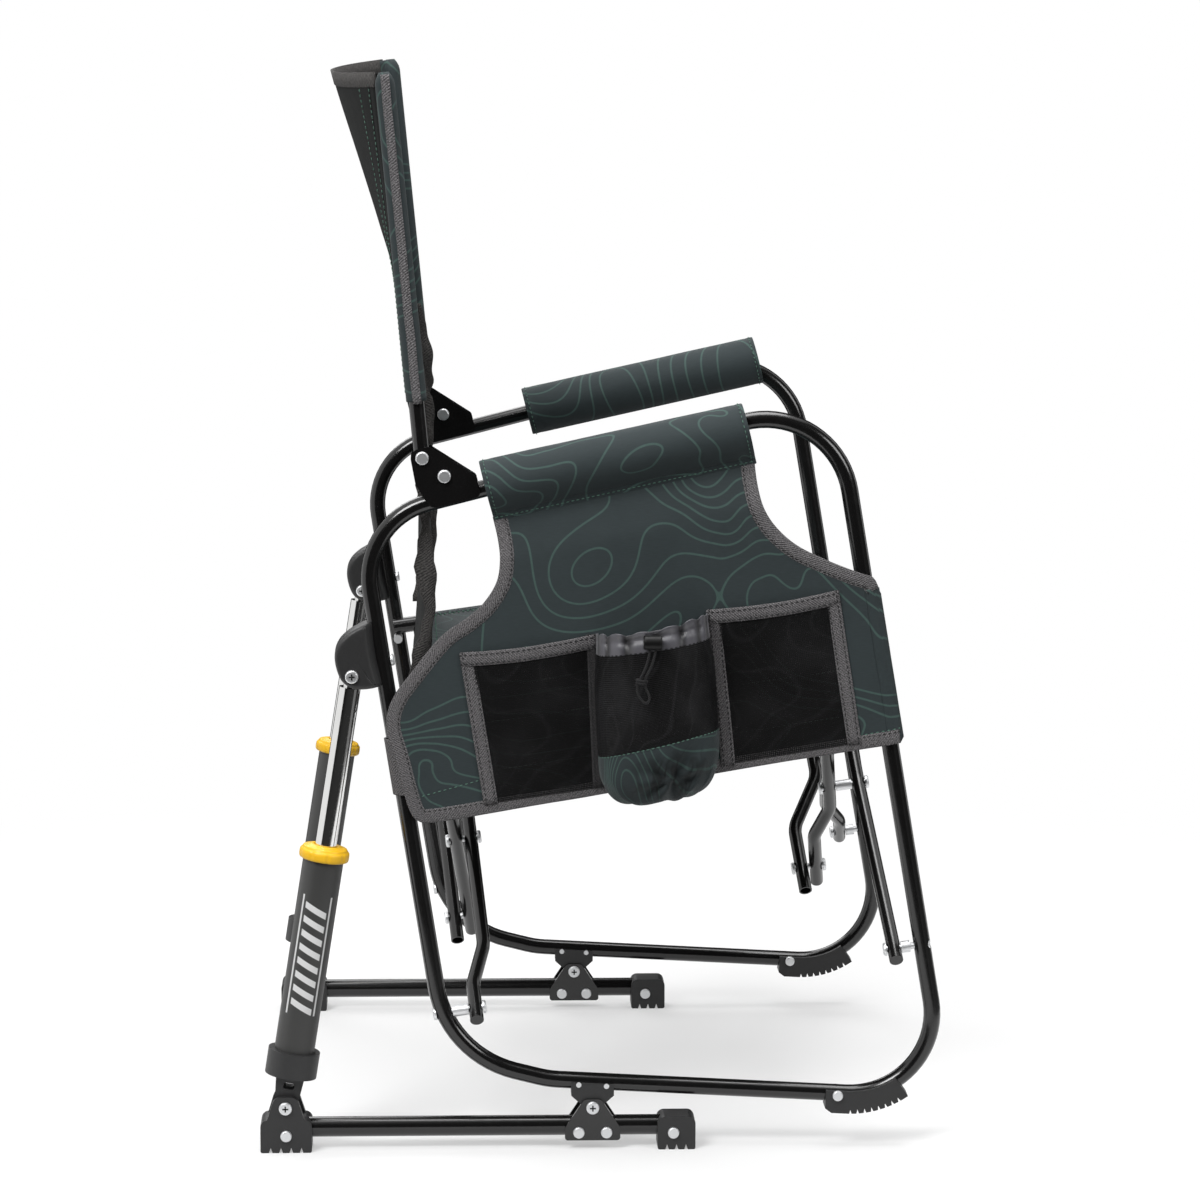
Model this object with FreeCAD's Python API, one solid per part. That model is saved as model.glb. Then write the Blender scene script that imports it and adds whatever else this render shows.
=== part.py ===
"""Folding rocking camp chair: two tubular side loops on spring-piston rocker bases, a double-X
folding cross frame with lifting seat rails, a folding backrest, cloth and side pockets.

Model frame: +X is the front of the chair, +Y the sitter's left, +Z up, millimetres. Each right-hand
piece is drawn at y = -TRACK/2 and mirrored for the left; the finished model is moved so that its
origin is the bottom centre of its box.
"""
import FreeCAD, Part
import math
import os
from FreeCAD import Vector

os.makedirs("parts", exist_ok=True)

# Side loop
TRACK = 560.0
LOOP_R = 8.0
LOOP_WALL = 1.5
ARM_FRONT = (222.0, 706.0)
ARM_FRONT_BEND = 80.0
TOE = (334.3, 44.2)
TOE_BEND = 76.0
RAIL_KINK = (-41.0, 65.0)
RAIL_KINK_BEND = 100.0
HEEL = (-136.0, 89.0)
HEEL_BEND = 100.0
ARM_REAR = (-216.3, 593.9)
ARM_REAR_BEND = 72.0

# Rocker base
PIVOT_Z = 40.0
BASE_R = 9.5
BASE_WALL = 1.6
BASE_Z = 20.5
REAR_FOOT_X = (-311.0, -263.0)
FRONT_FOOT_X = (61.0, 96.5)
REAR_FOOT_HALF = 18.0
FRONT_FOOT_HALF = 15.0
FOOT_WALL = 5.0
REAR_TEETH = 5
FRONT_TEETH = 4
TOOTH_DEPTH = 5.0
PLATE = 2.5
BRACKET_HALF_X = 26.0
BRACKET_APEX_R = 8.0
SADDLE_HALF_X = 20.0

# Spring piston, lower eye B and upper eye T, distances measured from B towards T
EYE_B = (-287.4, 42.7)
EYE_T = (-223.4, 450.7)
EYE_R = 10.5
EYE_HALF = 11.2
COLLAR_R = 24.3
COLLAR_FROM = 29.0
COLLAR_TO = 53.0
CYL_R = 18.8
CYL_WALL = 3.2
CYL_TO = 236.0
RING_R = 24.5
RING_TO = 253.0
ROD_R = 10.0
ROD_FROM = 165.0
PISTON_LEN = 14.0
ROD_EYE_HALF = 7.0
ROD_EYE_SLACK = 3.7
ROD_EYE_WALL = 3.0
ROD_WAY = 4.0
SPRING_WIRE = 3.0
SPRING_TURNS = 7
HOUSING_HALF = 16.0
HOUSING_WALL = 3.0

# Fasteners
BOLT_R = 3.0
SCREW_R = 2.5
HEAD_R = 6.2
HEAD_H = 3.2

# Backrest
POLE_R = 7.5
POLE_WALL = 1.4
POLE_PIVOT = (-158.0, 652.5)
POLE_LEAN = 5.5
POLE_UP = 343.0
POLE_TAIL = 26.0
STOP_BOLT = (-137.7, 635.8)
BACK_PLATE = 2.0
BACK_SAG = 45.0
BACK_FROM = 52.0
CURTAIN_BOTTOM = 452.0

# Folding cross frame, in the fold plane (v across, w above the pivot line)
FOLD_REAR = (-138.3, 129.7)
FOLD_FRONT = (305.2, 191.7)
BAR_R = 6.5
BAR_WALL = 1.3
BAR_GAP = 1.5
SIDE_PIN_V = 97.0
STRUT_FOOT_W = 28.0
RAIL_R = 8.0
RAIL_WALL = 1.5
RAIL_INSET = 19.0
RAIL_W = 288.0
RAIL_U = (-12.0, 446.0)
BAR_TAIL = 14.0
STRUT_TAIL = 28.0
REAR_SPACER = 14.5
FRONT_SPACER = 8.3
REST_R = 4.5

# Cloth
CLOTH = 1.6
SLEEVE_HALF_Y = 23.0
SLEEVE_LEN = 248.0
# Each sleeve: start along the arm, half height, height of its middle over the arm at the rear and the front
RIGHT_SLEEVE = (60.0, 29.0, -2.9, -11.5)
LEFT_SLEEVE = (111.5, 25.0, 1.2, -6.2)
SEAT_SAG = 24.0
SEAT_U = (14.0, 426.0)
PANEL_OFF = 10.2
POCKET_DEPTH = 8.0
HOLDER_X = (1.0, 117.0)
HOLDER_DEPTH = 66.0
HOLDER_TOP = 497.0
HOLDER_BOTTOM = 337.0
HOLDER_TILT = 0.16
CORD_R = 1.2
LOCK_R = 6.5
LOCK_LEN = 17.0

# Clearances
RUN = 0.4
SEAT_FIT = 0.1
CLEAR = 0.6

SIDE_Y = -TRACK / 2.0
AXIS_Y = Vector(0, 1, 0)
AXIS_Z = Vector(0, 0, 1)


def xz(p, y=SIDE_Y):
    return Vector(p[0], y, p[1])


def rod(p, q, r):
    d = q.sub(p)
    return Part.makeCylinder(r, d.Length, p, d)


def fused(shapes):
    body = shapes[0]
    if len(shapes) > 1:
        body = body.multiFuse(shapes[1:])
    return body.removeSplitter()


def corner(a, p, b, r):
    """Tangent points and middle of an arc of radius r at the corner p between a and b."""
    da = a.sub(p)
    db = b.sub(p)
    da.normalize()
    db.normalize()
    half = da.getAngle(db) / 2.0
    t = r / math.tan(half)
    bis = da.add(db)
    bis.normalize()
    mid = p.add(bis * (r / math.sin(half) - r))
    return p.add(da * t), mid, p.add(db * t)


def path(points, radii, closed=False):
    """Wire of straight runs and tangent arcs; a radius of 0 ends the wire."""
    edges = []
    n = len(points)
    arcs = []
    for i, p in enumerate(points):
        if closed or 0 < i < n - 1:
            arcs.append(corner(points[i - 1], p, points[(i + 1) % n], radii[i]))
        else:
            arcs.append((p, None, p))
    start = arcs[0][2]
    for i in range(1, n + (1 if closed else 0)):
        a = arcs[i % n]
        edges.append(Part.LineSegment(start, a[0]).toShape())
        if a[1] is not None:
            edges.append(Part.Arc(a[0], a[1], a[2]).toShape())
        start = a[2]
    return edges


def sweep(edges, r):
    """Round bar along tangent edges, one swept solid per edge, fused end to end."""
    solids = []
    for e in edges:
        p = e.valueAt(e.FirstParameter)
        t = e.tangentAt(e.FirstParameter)
        if isinstance(e.Curve, Part.Line):
            solids.append(rod(p, e.valueAt(e.LastParameter), r))
        else:
            face = Part.Face(Part.Wire(Part.makeCircle(r, p, t)))
            c = e.Curve
            turn = math.degrees(e.LastParameter - e.FirstParameter)
            solids.append(face.revolve(c.Center, c.Axis, turn))
    return fused(solids)


def tube(edges, r, wall):
    return sweep(edges, r).cut(sweep(edges, r - wall))


def plate_xz(points, y0, y1):
    wire = Part.makePolygon([Vector(x, y0, z) for x, z in points] + [Vector(points[0][0], y0, points[0][1])])
    return Part.Face(wire).extrude(Vector(0, y1 - y0, 0))


def rounded_xz(points, radii, y0, y1):
    """Plate from a closed outline with rounded corners."""
    edges = path([Vector(x, y0, z) for x, z in points], radii, True)
    return Part.Face(Part.Wire(Part.__sortEdges__(edges))).extrude(Vector(0, y1 - y0, 0))


def head(p, d, r=HEAD_R, h=HEAD_H):
    """Pan head sitting on p and rising along d."""
    c = Part.makeCylinder(r, h, p, d)
    rim = [e for e in c.Edges if e.Length > r and (e.CenterOfMass.sub(p)).Length > h * 0.5]
    return c.makeFillet(h * 0.55, rim)


def bolt(p, q, r=BOLT_R, head_r=HEAD_R):
    """Through bolt with a pan head on each end, shank from p to q."""
    d = q.sub(p)
    d.normalize()
    return fused([rod(p, q, r), head(q, d, head_r), head(p, d * -1, head_r)])


def mirrored(shape):
    return shape.mirror(Vector(0, 0, 0), AXIS_Y)


# Loop centreline
LOOP_POINTS = [xz(ARM_FRONT), xz(TOE), xz(RAIL_KINK), xz(HEEL), xz(ARM_REAR)]
LOOP_BENDS = [ARM_FRONT_BEND, TOE_BEND, RAIL_KINK_BEND, HEEL_BEND, ARM_REAR_BEND]
LOOP_EDGES = path(LOOP_POINTS, LOOP_BENDS, True)
LOOP_SOLID = sweep(LOOP_EDGES, LOOP_R)


def on_line(a, b, x):
    t = (x - a[0]) / (b[0] - a[0])
    return a[1] + t * (b[1] - a[1])


def leg_x(a, b, z):
    return a[0] + (z - a[1]) / (b[1] - a[1]) * (b[0] - a[0])


def rear_leg(z):
    return leg_x(HEEL, ARM_REAR, z)


def front_leg(z):
    return leg_x(TOE, ARM_FRONT, z)


ARM_DIR = Vector(ARM_FRONT[0] - ARM_REAR[0], 0, ARM_FRONT[1] - ARM_REAR[1])
ARM_DIR.normalize()
ARM_UP = Vector(-ARM_DIR.z, 0, ARM_DIR.x)

# Fold plane
FOLD_DIR = Vector(FOLD_FRONT[0] - FOLD_REAR[0], 0, FOLD_FRONT[1] - FOLD_REAR[1])
FOLD_LEN = FOLD_DIR.Length
FOLD_DIR.normalize()
FOLD_UP = Vector(-FOLD_DIR.z, 0, FOLD_DIR.x)


def fold(u, v, w):
    return Vector(FOLD_REAR[0], v, FOLD_REAR[1]).add(FOLD_DIR * u).add(FOLD_UP * w)


def leg_u(leg, w):
    """Distance along the fold axis of a leg's centre at height w."""
    z = FOLD_REAR[1] + w * FOLD_UP.z
    for _ in range(20):
        p = Vector(leg(z), 0, z).sub(Vector(FOLD_REAR[0], 0, FOLD_REAR[1]))
        z += (w - p.dot(FOLD_UP)) * FOLD_UP.z
    return p.dot(FOLD_DIR)


nodes = {}

# Rocker base, right side
PIN_P = Vector(0, SIDE_Y, PIVOT_Z)
PIN_B = xz(EYE_B)
base_from = REAR_FOOT_X[0] + FOOT_WALL
base_to = FRONT_FOOT_X[1] - FOOT_WALL
BRACKET_IN = BASE_R + SEAT_FIT
BRACKET_OUT = BRACKET_IN + PLATE
screw_z = BASE_Z - BASE_R * 0.45
rear_bolt_x = (REAR_FOOT_X[0] + REAR_FOOT_X[1]) / 2.0
front_bolt_x = (FRONT_FOOT_X[0] + FRONT_FOOT_X[1]) / 2.0 - 3.0
bracket_bolt_x = BRACKET_HALF_X * 0.5
BASE_SCREWS = [
    (rear_bolt_x, REAR_FOOT_HALF),
    (front_bolt_x, FRONT_FOOT_HALF),
    (-bracket_bolt_x, BRACKET_OUT),
    (bracket_bolt_x, BRACKET_OUT),
]


def screw_holes(shape):
    for x, half in BASE_SCREWS:
        p = Vector(x, SIDE_Y - half - 1, screw_z)
        shape = shape.cut(Part.makeCylinder(SCREW_R + SEAT_FIT, 2 * half + 2, p, AXIS_Y))
    return shape


base_line = [Part.LineSegment(Vector(base_from, SIDE_Y, BASE_Z), Vector(base_to, SIDE_Y, BASE_Z)).toShape()]
nodes["right_base_rail"] = screw_holes(tube(base_line, BASE_R, BASE_WALL))
base_socket = rod(
    Vector(base_from - SEAT_FIT, SIDE_Y, BASE_Z), Vector(base_to + SEAT_FIT, SIDE_Y, BASE_Z), BASE_R + SEAT_FIT
)


def foot(x_range, half, top, teeth):
    """Moulded foot with a toothed sole and rounded shoulders round the rail's end."""
    x0, x1 = x_range
    outline = [(x0, 0), (x1, 0), (x1, top), (x0, top)]
    body = rounded_xz(outline, [2.0, 2.0, 7.0, 7.0], SIDE_Y - half, SIDE_Y + half)
    pitch = (x1 - x0) / teeth
    for i in range(1, teeth):
        x = x0 + i * pitch
        w = pitch * 0.22
        notch = plate_xz([(x - w, -1), (x + w, -1), (x, TOOTH_DEPTH)], SIDE_Y - half - 1, SIDE_Y + half + 1)
        body = body.cut(notch)
    return body


deck = BASE_Z + BASE_R + 1.4
EAR_IN = EYE_HALF + CLEAR
rear = foot(REAR_FOOT_X, REAR_FOOT_HALF, deck, REAR_TEETH)
ear_outline = [
    (REAR_FOOT_X[0] + 4, deck - 8),
    (REAR_FOOT_X[1] - 4, deck - 8),
    (EYE_B[0] + EYE_R, EYE_B[1] + EYE_R),
    (EYE_B[0] - EYE_R, EYE_B[1] + EYE_R),
]
ears = []
for y0, y1 in ((-REAR_FOOT_HALF, -EAR_IN), (EAR_IN, REAR_FOOT_HALF)):
    ears.append(rounded_xz(ear_outline, [2.0, 2.0, EYE_R - 2, EYE_R - 2], SIDE_Y + y0, SIDE_Y + y1))
rear = fused([rear] + ears).cut(base_socket)
rear = rear.cut(Part.makeCylinder(BOLT_R + SEAT_FIT, 80, Vector(EYE_B[0], SIDE_Y - 40, EYE_B[1]), AXIS_Y))
nodes["right_rear_foot"] = screw_holes(rear)
nodes["right_front_foot"] = screw_holes(foot(FRONT_FOOT_X, FRONT_FOOT_HALF, deck, FRONT_TEETH).cut(base_socket))

plate_low = BASE_Z - BASE_R - PLATE
bracket_outline = [
    (-BRACKET_HALF_X, plate_low),
    (BRACKET_HALF_X, plate_low),
    (BRACKET_HALF_X, plate_low + 12),
    (BRACKET_APEX_R, PIVOT_Z + BRACKET_APEX_R),
    (-BRACKET_APEX_R, PIVOT_Z + BRACKET_APEX_R),
    (-BRACKET_HALF_X, plate_low + 12),
]
cheeks = []
for y0, y1 in ((-BRACKET_OUT, -BRACKET_IN), (BRACKET_IN, BRACKET_OUT)):
    cheeks.append(rounded_xz(bracket_outline, [3, 3, 4, 6, 6, 4], SIDE_Y + y0, SIDE_Y + y1))
web = Part.makeBox(
    2 * BRACKET_HALF_X - 8, 2 * BRACKET_OUT, PLATE - SEAT_FIT,
    Vector(4 - BRACKET_HALF_X, SIDE_Y - BRACKET_OUT, plate_low),
)
bracket = fused(cheeks + [web])
bracket = bracket.cut(Part.makeCylinder(BOLT_R + SEAT_FIT, 60, Vector(0, SIDE_Y - 30, PIVOT_Z), AXIS_Y))
nodes["right_hinge_bracket"] = screw_holes(bracket)

base_bolts = []
for x, half in BASE_SCREWS:
    a = Vector(x, SIDE_Y - half, screw_z)
    base_bolts.append(bolt(a, a.add(AXIS_Y * (2 * half)), SCREW_R, HEAD_R - 0.8))
base_bolts.append(bolt(PIN_P.sub(AXIS_Y * BRACKET_OUT), PIN_P.add(AXIS_Y * BRACKET_OUT)))
base_bolts.append(bolt(PIN_B.sub(AXIS_Y * REAR_FOOT_HALF), PIN_B.add(AXIS_Y * REAR_FOOT_HALF)))
nodes["right_base_bolts"] = Part.makeCompound(base_bolts)

# Side loop and what is fixed to it
saddle_top = on_line(RAIL_KINK, TOE, 0.0)
saddle_half = BRACKET_IN - RUN
saddle = plate_xz(
    [
        (-SADDLE_HALF_X, saddle_top + 1), (SADDLE_HALF_X, saddle_top - 1),
        (SADDLE_HALF_X, saddle_top - LOOP_R - 4), (BRACKET_APEX_R, PIVOT_Z), (-BRACKET_APEX_R, PIVOT_Z),
        (-SADDLE_HALF_X, saddle_top - LOOP_R - 4),
    ],
    SIDE_Y - saddle_half, SIDE_Y + saddle_half,
)
barrel = Part.makeCylinder(BRACKET_APEX_R, 2 * saddle_half, PIN_P.sub(AXIS_Y * saddle_half), AXIS_Y)
saddle = fused([saddle, barrel]).cut(LOOP_SOLID)
saddle = saddle.cut(Part.makeCylinder(BOLT_R + RUN, 60, PIN_P.sub(AXIS_Y * 30), AXIS_Y))
SADDLE_RIVETS = []
for x in (-SADDLE_HALF_X * 0.65, SADDLE_HALF_X * 0.65):
    SADDLE_RIVETS.append(Vector(x, SIDE_Y, on_line(RAIL_KINK, TOE, x) - LOOP_R * 0.3))

# Toothed skid under the front bend
toe_arc = [e for e in LOOP_EDGES if not isinstance(e.Curve, Part.Line)][0]
toe_centre = toe_arc.Curve.Center
SKID_HALF = LOOP_R + 4.0
SKID_DROP = 17.0
SKID_BACK = 20.0
SKID_SWEEP = 38.0
rail_dir = Vector(RAIL_KINK[0] - TOE[0], 0, RAIL_KINK[1] - TOE[1])
rail_dir.normalize()
rail_down = Vector(rail_dir.z, 0, -rail_dir.x)
if rail_down.z > 0:
    rail_down = rail_down * -1


def toe_point(angle, radius):
    a = math.radians(angle)
    d = rail_down * math.cos(a) + rail_dir * -math.sin(a)
    return toe_centre.add(d * radius)


r_in = TOE_BEND - LOOP_R * 0.5
r_out = TOE_BEND + SKID_DROP
back = rail_dir * SKID_BACK
skid_wire = Part.Wire([
    Part.LineSegment(toe_point(0, r_in).add(back), toe_point(0, r_out - 4).add(back)).toShape(),
    Part.LineSegment(toe_point(0, r_out - 4).add(back), toe_point(0, r_out).add(back * 0.7)).toShape(),
    Part.LineSegment(toe_point(0, r_out).add(back * 0.7), toe_point(0, r_out)).toShape(),
    Part.Arc(toe_point(0, r_out), toe_point(SKID_SWEEP / 2, r_out), toe_point(SKID_SWEEP, r_out)).toShape(),
    Part.LineSegment(toe_point(SKID_SWEEP, r_out), toe_point(SKID_SWEEP, r_in)).toShape(),
    Part.Arc(toe_point(SKID_SWEEP, r_in), toe_point(SKID_SWEEP / 2, r_in), toe_point(0, r_in)).toShape(),
    Part.LineSegment(toe_point(0, r_in), toe_point(0, r_in).add(back)).toShape(),
])
skid = Part.Face(skid_wire).extrude(AXIS_Y * (2 * SKID_HALF))
skid.translate(AXIS_Y * -SKID_HALF)
skid = skid.cut(LOOP_SOLID)
for i in range(8):
    a = 2.5 + i * (SKID_SWEEP - 4) / 8.0
    tri = [toe_point(a - 0.9, r_out + 1), toe_point(a + 0.9, r_out + 1), toe_point(a, r_out - 4)]
    groove = Part.Face(Part.makePolygon(tri + [tri[0]])).extrude(AXIS_Y * (4 * SKID_HALF))
    groove.translate(AXIS_Y * (-2 * SKID_HALF))
    skid = skid.cut(groove)
SKID_SCREW = toe_point(0, TOE_BEND).add(rail_dir * (SKID_BACK * 0.45))
skid = skid.cut(Part.makeCylinder(SCREW_R + SEAT_FIT, 60, SKID_SCREW.sub(AXIS_Y * 30), AXIS_Y))

# D-shaped housing for the piston's upper eye, clamped on the rear leg
PIN_T = xz(EYE_T)
leg_dir = Vector(ARM_REAR[0] - HEEL[0], 0, ARM_REAR[1] - HEEL[1])
leg_dir.normalize()
leg_back = Vector(-leg_dir.z, 0, leg_dir.x)
LEG_AT_T = Vector(rear_leg(EYE_T[1]), SIDE_Y, EYE_T[1])
T_BACK = PIN_T.sub(LEG_AT_T).dot(leg_back)


def house(along, back_by):
    p = LEG_AT_T.add(leg_dir * along).add(leg_back * back_by)
    return (p.x, p.z)


HOUSE_REAR = T_BACK + BOLT_R + 2 * ROD_EYE_SLACK + ROD_EYE_WALL + RUN + HOUSING_WALL
HOUSE_FRONT = LOOP_R - 3.0
house_outline = [
    house(-10, HOUSE_FRONT), house(-9, T_BACK + 2), house(2, HOUSE_REAR), house(28, HOUSE_REAR - 2), house(44, 26),
    house(51, HOUSE_FRONT),
]
housing = rounded_xz(house_outline, [2, 8, 10, 14, 14, 4], SIDE_Y - HOUSING_HALF, SIDE_Y + HOUSING_HALF)
inner = HOUSING_HALF - HOUSING_WALL
pocket_outline = [
    house(-30, LOOP_R + 1.5), house(-30, HOUSE_REAR - HOUSING_WALL),
    house(18, HOUSE_REAR - HOUSING_WALL - 2), house(24, LOOP_R + 1.5),
]
housing = housing.cut(rounded_xz(pocket_outline, [1, 1, 6, 4], SIDE_Y - inner, SIDE_Y + inner))
rod_line = PIN_T.sub(xz(EYE_B))
rod_line.normalize()
rod_way = rod(PIN_T.sub(rod_line * 60.0), PIN_T.sub(rod_line * (EYE_R - 2.5)), ROD_R + ROD_WAY)
housing = housing.cut(rod_way).cut(LOOP_SOLID)
housing = housing.cut(Part.makeCylinder(BOLT_R + SEAT_FIT, 80, PIN_T.sub(AXIS_Y * 40), AXIS_Y))
HOUSE_CLAMP = LEG_AT_T.add(leg_dir * 12.0)
clamp_from = HOUSE_CLAMP.sub(leg_back * LOOP_R)
clamp_to = HOUSE_CLAMP.add(leg_back * (LOOP_R + 1.5))
housing = housing.cut(rod(HOUSE_CLAMP, clamp_to.add(leg_back * (2 * HEAD_H)), SCREW_R + SEAT_FIT))
housing = housing.cut(rod(clamp_to, clamp_to.add(leg_back * (HEAD_H + 1)), HEAD_R))
nodes["right_piston_housing"] = housing

# Channel bracket that carries the back pole
PIN_K = xz(POLE_PIVOT)
PIN_S = xz(STOP_BOLT)
BACK_IN = LOOP_R + SEAT_FIT
BACK_OUT = BACK_IN + BACK_PLATE
arm_at = Vector(POLE_PIVOT[0], SIDE_Y, on_line(ARM_REAR, ARM_FRONT, POLE_PIVOT[0]))
PIVOT_UP = PIN_K.sub(arm_at).dot(ARM_UP)


def arm(along, up):
    p = arm_at.add(ARM_DIR * along).add(ARM_UP * up)
    return (p.x, p.z)


K_ALONG = PIN_K.sub(arm_at).dot(ARM_DIR)
plate_outline = [
    arm(K_ALONG - 10, PIVOT_UP + 9), arm(K_ALONG - 12, PIVOT_UP - 22), arm(K_ALONG - 4, -5),
    arm(K_ALONG + 44, -5), arm(K_ALONG + 44, LOOP_R + 6), arm(K_ALONG + 9, PIVOT_UP + 9),
]
plates = []
for y0, y1 in ((-BACK_OUT, -BACK_IN), (BACK_IN, BACK_OUT)):
    plates.append(rounded_xz(plate_outline, [9, 12, 8, 5, 5, 9], SIDE_Y + y0, SIDE_Y + y1))
foot_up = LOOP_R - 0.8
weld_foot = plate_xz(
    [
        arm(K_ALONG + 30, foot_up), arm(K_ALONG + 43, foot_up),
        arm(K_ALONG + 43, LOOP_R + BACK_PLATE), arm(K_ALONG + 30, LOOP_R + BACK_PLATE),
    ],
    SIDE_Y - BACK_OUT, SIDE_Y + BACK_OUT,
)
slant = ((44.0, LOOP_R + 6), (9.0, PIVOT_UP + 9))


def on_slant(t, under):
    """Point on the bracket's sloping edge, t along it from the arm, under below it."""
    (a0, u0), (a1, u1) = slant
    run = math.hypot(a1 - a0, u1 - u0)
    return arm(K_ALONG + a0 + t * (a1 - a0) - under * (u1 - u0) / run, u0 + t * (u1 - u0) - under * (a0 - a1) / run)


hood = plate_xz(
    [on_slant(0.1, 0.0), on_slant(0.5, 0.0), on_slant(0.5, BACK_PLATE), on_slant(0.1, BACK_PLATE)],
    SIDE_Y - BACK_OUT, SIDE_Y + BACK_OUT,
)
back_bracket = fused(plates + [weld_foot, hood]).cut(LOOP_SOLID)
for p in (PIN_K, PIN_S):
    back_bracket = back_bracket.cut(Part.makeCylinder(BOLT_R + SEAT_FIT, 60, p.sub(AXIS_Y * 30), AXIS_Y))
nodes["right_back_bracket"] = back_bracket

# Pivots of the cross frame on the loops, rests for the seat rails
REAR_U = LOOP_R + REAR_SPACER + BAR_R
FRONT_U = FOLD_LEN - LOOP_R - FRONT_SPACER - BAR_R
REST_W = RAIL_W - RAIL_R - RUN - REST_R
RAIL_V = TRACK / 2.0 - RAIL_INSET
REST_SPOTS = [fold(leg_u(rear_leg, REST_W), SIDE_Y, REST_W), fold(leg_u(front_leg, REST_W), SIDE_Y, REST_W)]
rear_pin = [fold(-LOOP_R, SIDE_Y, 0), fold(REAR_U + BAR_R + RUN, SIDE_Y, 0)]
front_pin = [fold(FRONT_U - BAR_R - RUN, SIDE_Y, 0), fold(FOLD_LEN + LOOP_R, SIDE_Y, 0)]
rear_spacer = rod(fold(LOOP_R - 0.4, SIDE_Y, 0), fold(REAR_U - BAR_R - RUN, SIDE_Y, 0), BOLT_R + 2.5)
front_spacer = rod(fold(FRONT_U + BAR_R + RUN, SIDE_Y, 0), fold(FOLD_LEN - LOOP_R + 0.4, SIDE_Y, 0), BOLT_R + 2.5)

loop = LOOP_SOLID.cut(sweep(LOOP_EDGES, LOOP_R - LOOP_WALL))
for p in SADDLE_RIVETS + [SKID_SCREW]:
    loop = loop.cut(Part.makeCylinder(SCREW_R + SEAT_FIT, 60, p.sub(AXIS_Y * 30), AXIS_Y))
for p in REST_SPOTS:
    loop = loop.cut(Part.makeCylinder(BOLT_R + SEAT_FIT, 60, p.sub(AXIS_Y * 30), AXIS_Y))
for a, b in (rear_pin, front_pin):
    d = b.sub(a)
    d.normalize()
    loop = loop.cut(rod(a.sub(d * 20), b.add(d * 20), BOLT_R + SEAT_FIT))
loop = loop.cut(rod(clamp_from.sub(leg_back * 10), clamp_to, SCREW_R + SEAT_FIT))
nodes["right_loop"] = loop
for p in SADDLE_RIVETS:
    saddle = saddle.cut(Part.makeCylinder(SCREW_R + SEAT_FIT, 60, p.sub(AXIS_Y * 30), AXIS_Y))
nodes["right_saddle"] = saddle
nodes["right_skid"] = skid

frame_bolts = [bolt(PIN_K.sub(AXIS_Y * BACK_OUT), PIN_K.add(AXIS_Y * BACK_OUT), BOLT_R, HEAD_R)]
stop = bolt(PIN_S.sub(AXIS_Y * BACK_OUT), PIN_S.add(AXIS_Y * BACK_OUT), BOLT_R, HEAD_R)
pole_dir = Vector(-math.sin(math.radians(POLE_LEAN)), 0, math.cos(math.radians(POLE_LEAN)))
pole_front = Vector(pole_dir.z, 0, -pole_dir.x)
stop_gap = PIN_S.sub(PIN_K).dot(pole_front) - POLE_R
stop_sleeve = Part.makeCylinder(stop_gap - RUN, 2 * BACK_IN - 0.4, PIN_S.sub(AXIS_Y * (BACK_IN - 0.2)), AXIS_Y)
frame_bolts.append(fused([stop, stop_sleeve]))
for p in SADDLE_RIVETS:
    rivet = rod(p.sub(AXIS_Y * (saddle_half - 0.2)), p.add(AXIS_Y * (saddle_half - 0.2)), SCREW_R)
    frame_bolts.append(rivet)
frame_bolts.append(
    bolt(SKID_SCREW.sub(AXIS_Y * SKID_HALF), SKID_SCREW.add(AXIS_Y * SKID_HALF), SCREW_R, HEAD_R - 1.2)
)
frame_bolts.append(bolt(PIN_T.sub(AXIS_Y * HOUSING_HALF), PIN_T.add(AXIS_Y * HOUSING_HALF), BOLT_R, HEAD_R))
frame_bolts.append(bolt(clamp_from, clamp_to, SCREW_R, HEAD_R - 0.8))
frame_bolts.append(fused([bolt(rear_pin[0], rear_pin[1]), rear_spacer]).cut(LOOP_SOLID.cut(rod(
    fold(-20, SIDE_Y, 0), fold(20, SIDE_Y, 0), BOLT_R))))
frame_bolts.append(fused([bolt(front_pin[0], front_pin[1]), front_spacer]).cut(LOOP_SOLID.cut(rod(
    fold(FOLD_LEN - 20, SIDE_Y, 0), fold(FOLD_LEN + 20, SIDE_Y, 0), BOLT_R))))
for p in REST_SPOTS:
    outer = p.sub(AXIS_Y * LOOP_R)
    inner_end = Vector(p.x, -RAIL_V + RAIL_R, p.z)
    shoulder = rod(Vector(p.x, SIDE_Y + LOOP_R, p.z), inner_end, REST_R)
    rest = fused([rod(outer.add(AXIS_Y * 0.6), inner_end, BOLT_R), shoulder])
    frame_bolts.append(rest.cut(LOOP_SOLID.cut(rod(outer.sub(AXIS_Y), inner_end, BOLT_R))))
nodes["right_frame_bolts"] = Part.makeCompound(frame_bolts)


def sleeve_middle(spec, along):
    """Distance along the arm and height over it of the sleeve's middle."""
    return spec[0] + along, spec[2] + (spec[3] - spec[2]) * along / SLEEVE_LEN


def arm_sleeve(spec):
    """Padded cloth tube drawn over the arm, drooping a little towards the front."""
    turn = FreeCAD.Placement(Vector(0, 0, 0), FreeCAD.Rotation(ARM_UP, AXIS_Y, ARM_DIR, "XYZ"))
    sections = []
    for along, k in ((0.0, 0.9), (8.0, 1.0), (SLEEVE_LEN - 8.0, 1.0), (SLEEVE_LEN, 0.9)):
        e = Part.Ellipse(Vector(0, 0, 0), spec[1] * k, SLEEVE_HALF_Y * k).toShape()
        e.Placement = turn
        at, rise = sleeve_middle(spec, along)
        e.translate(arm_at.add(ARM_DIR * at).add(ARM_UP * rise))
        sections.append(Part.Wire(e))
    pad = Part.makeLoft(sections, True, True)
    return pad.cut(sweep(LOOP_EDGES, LOOP_R + SEAT_FIT))


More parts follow.
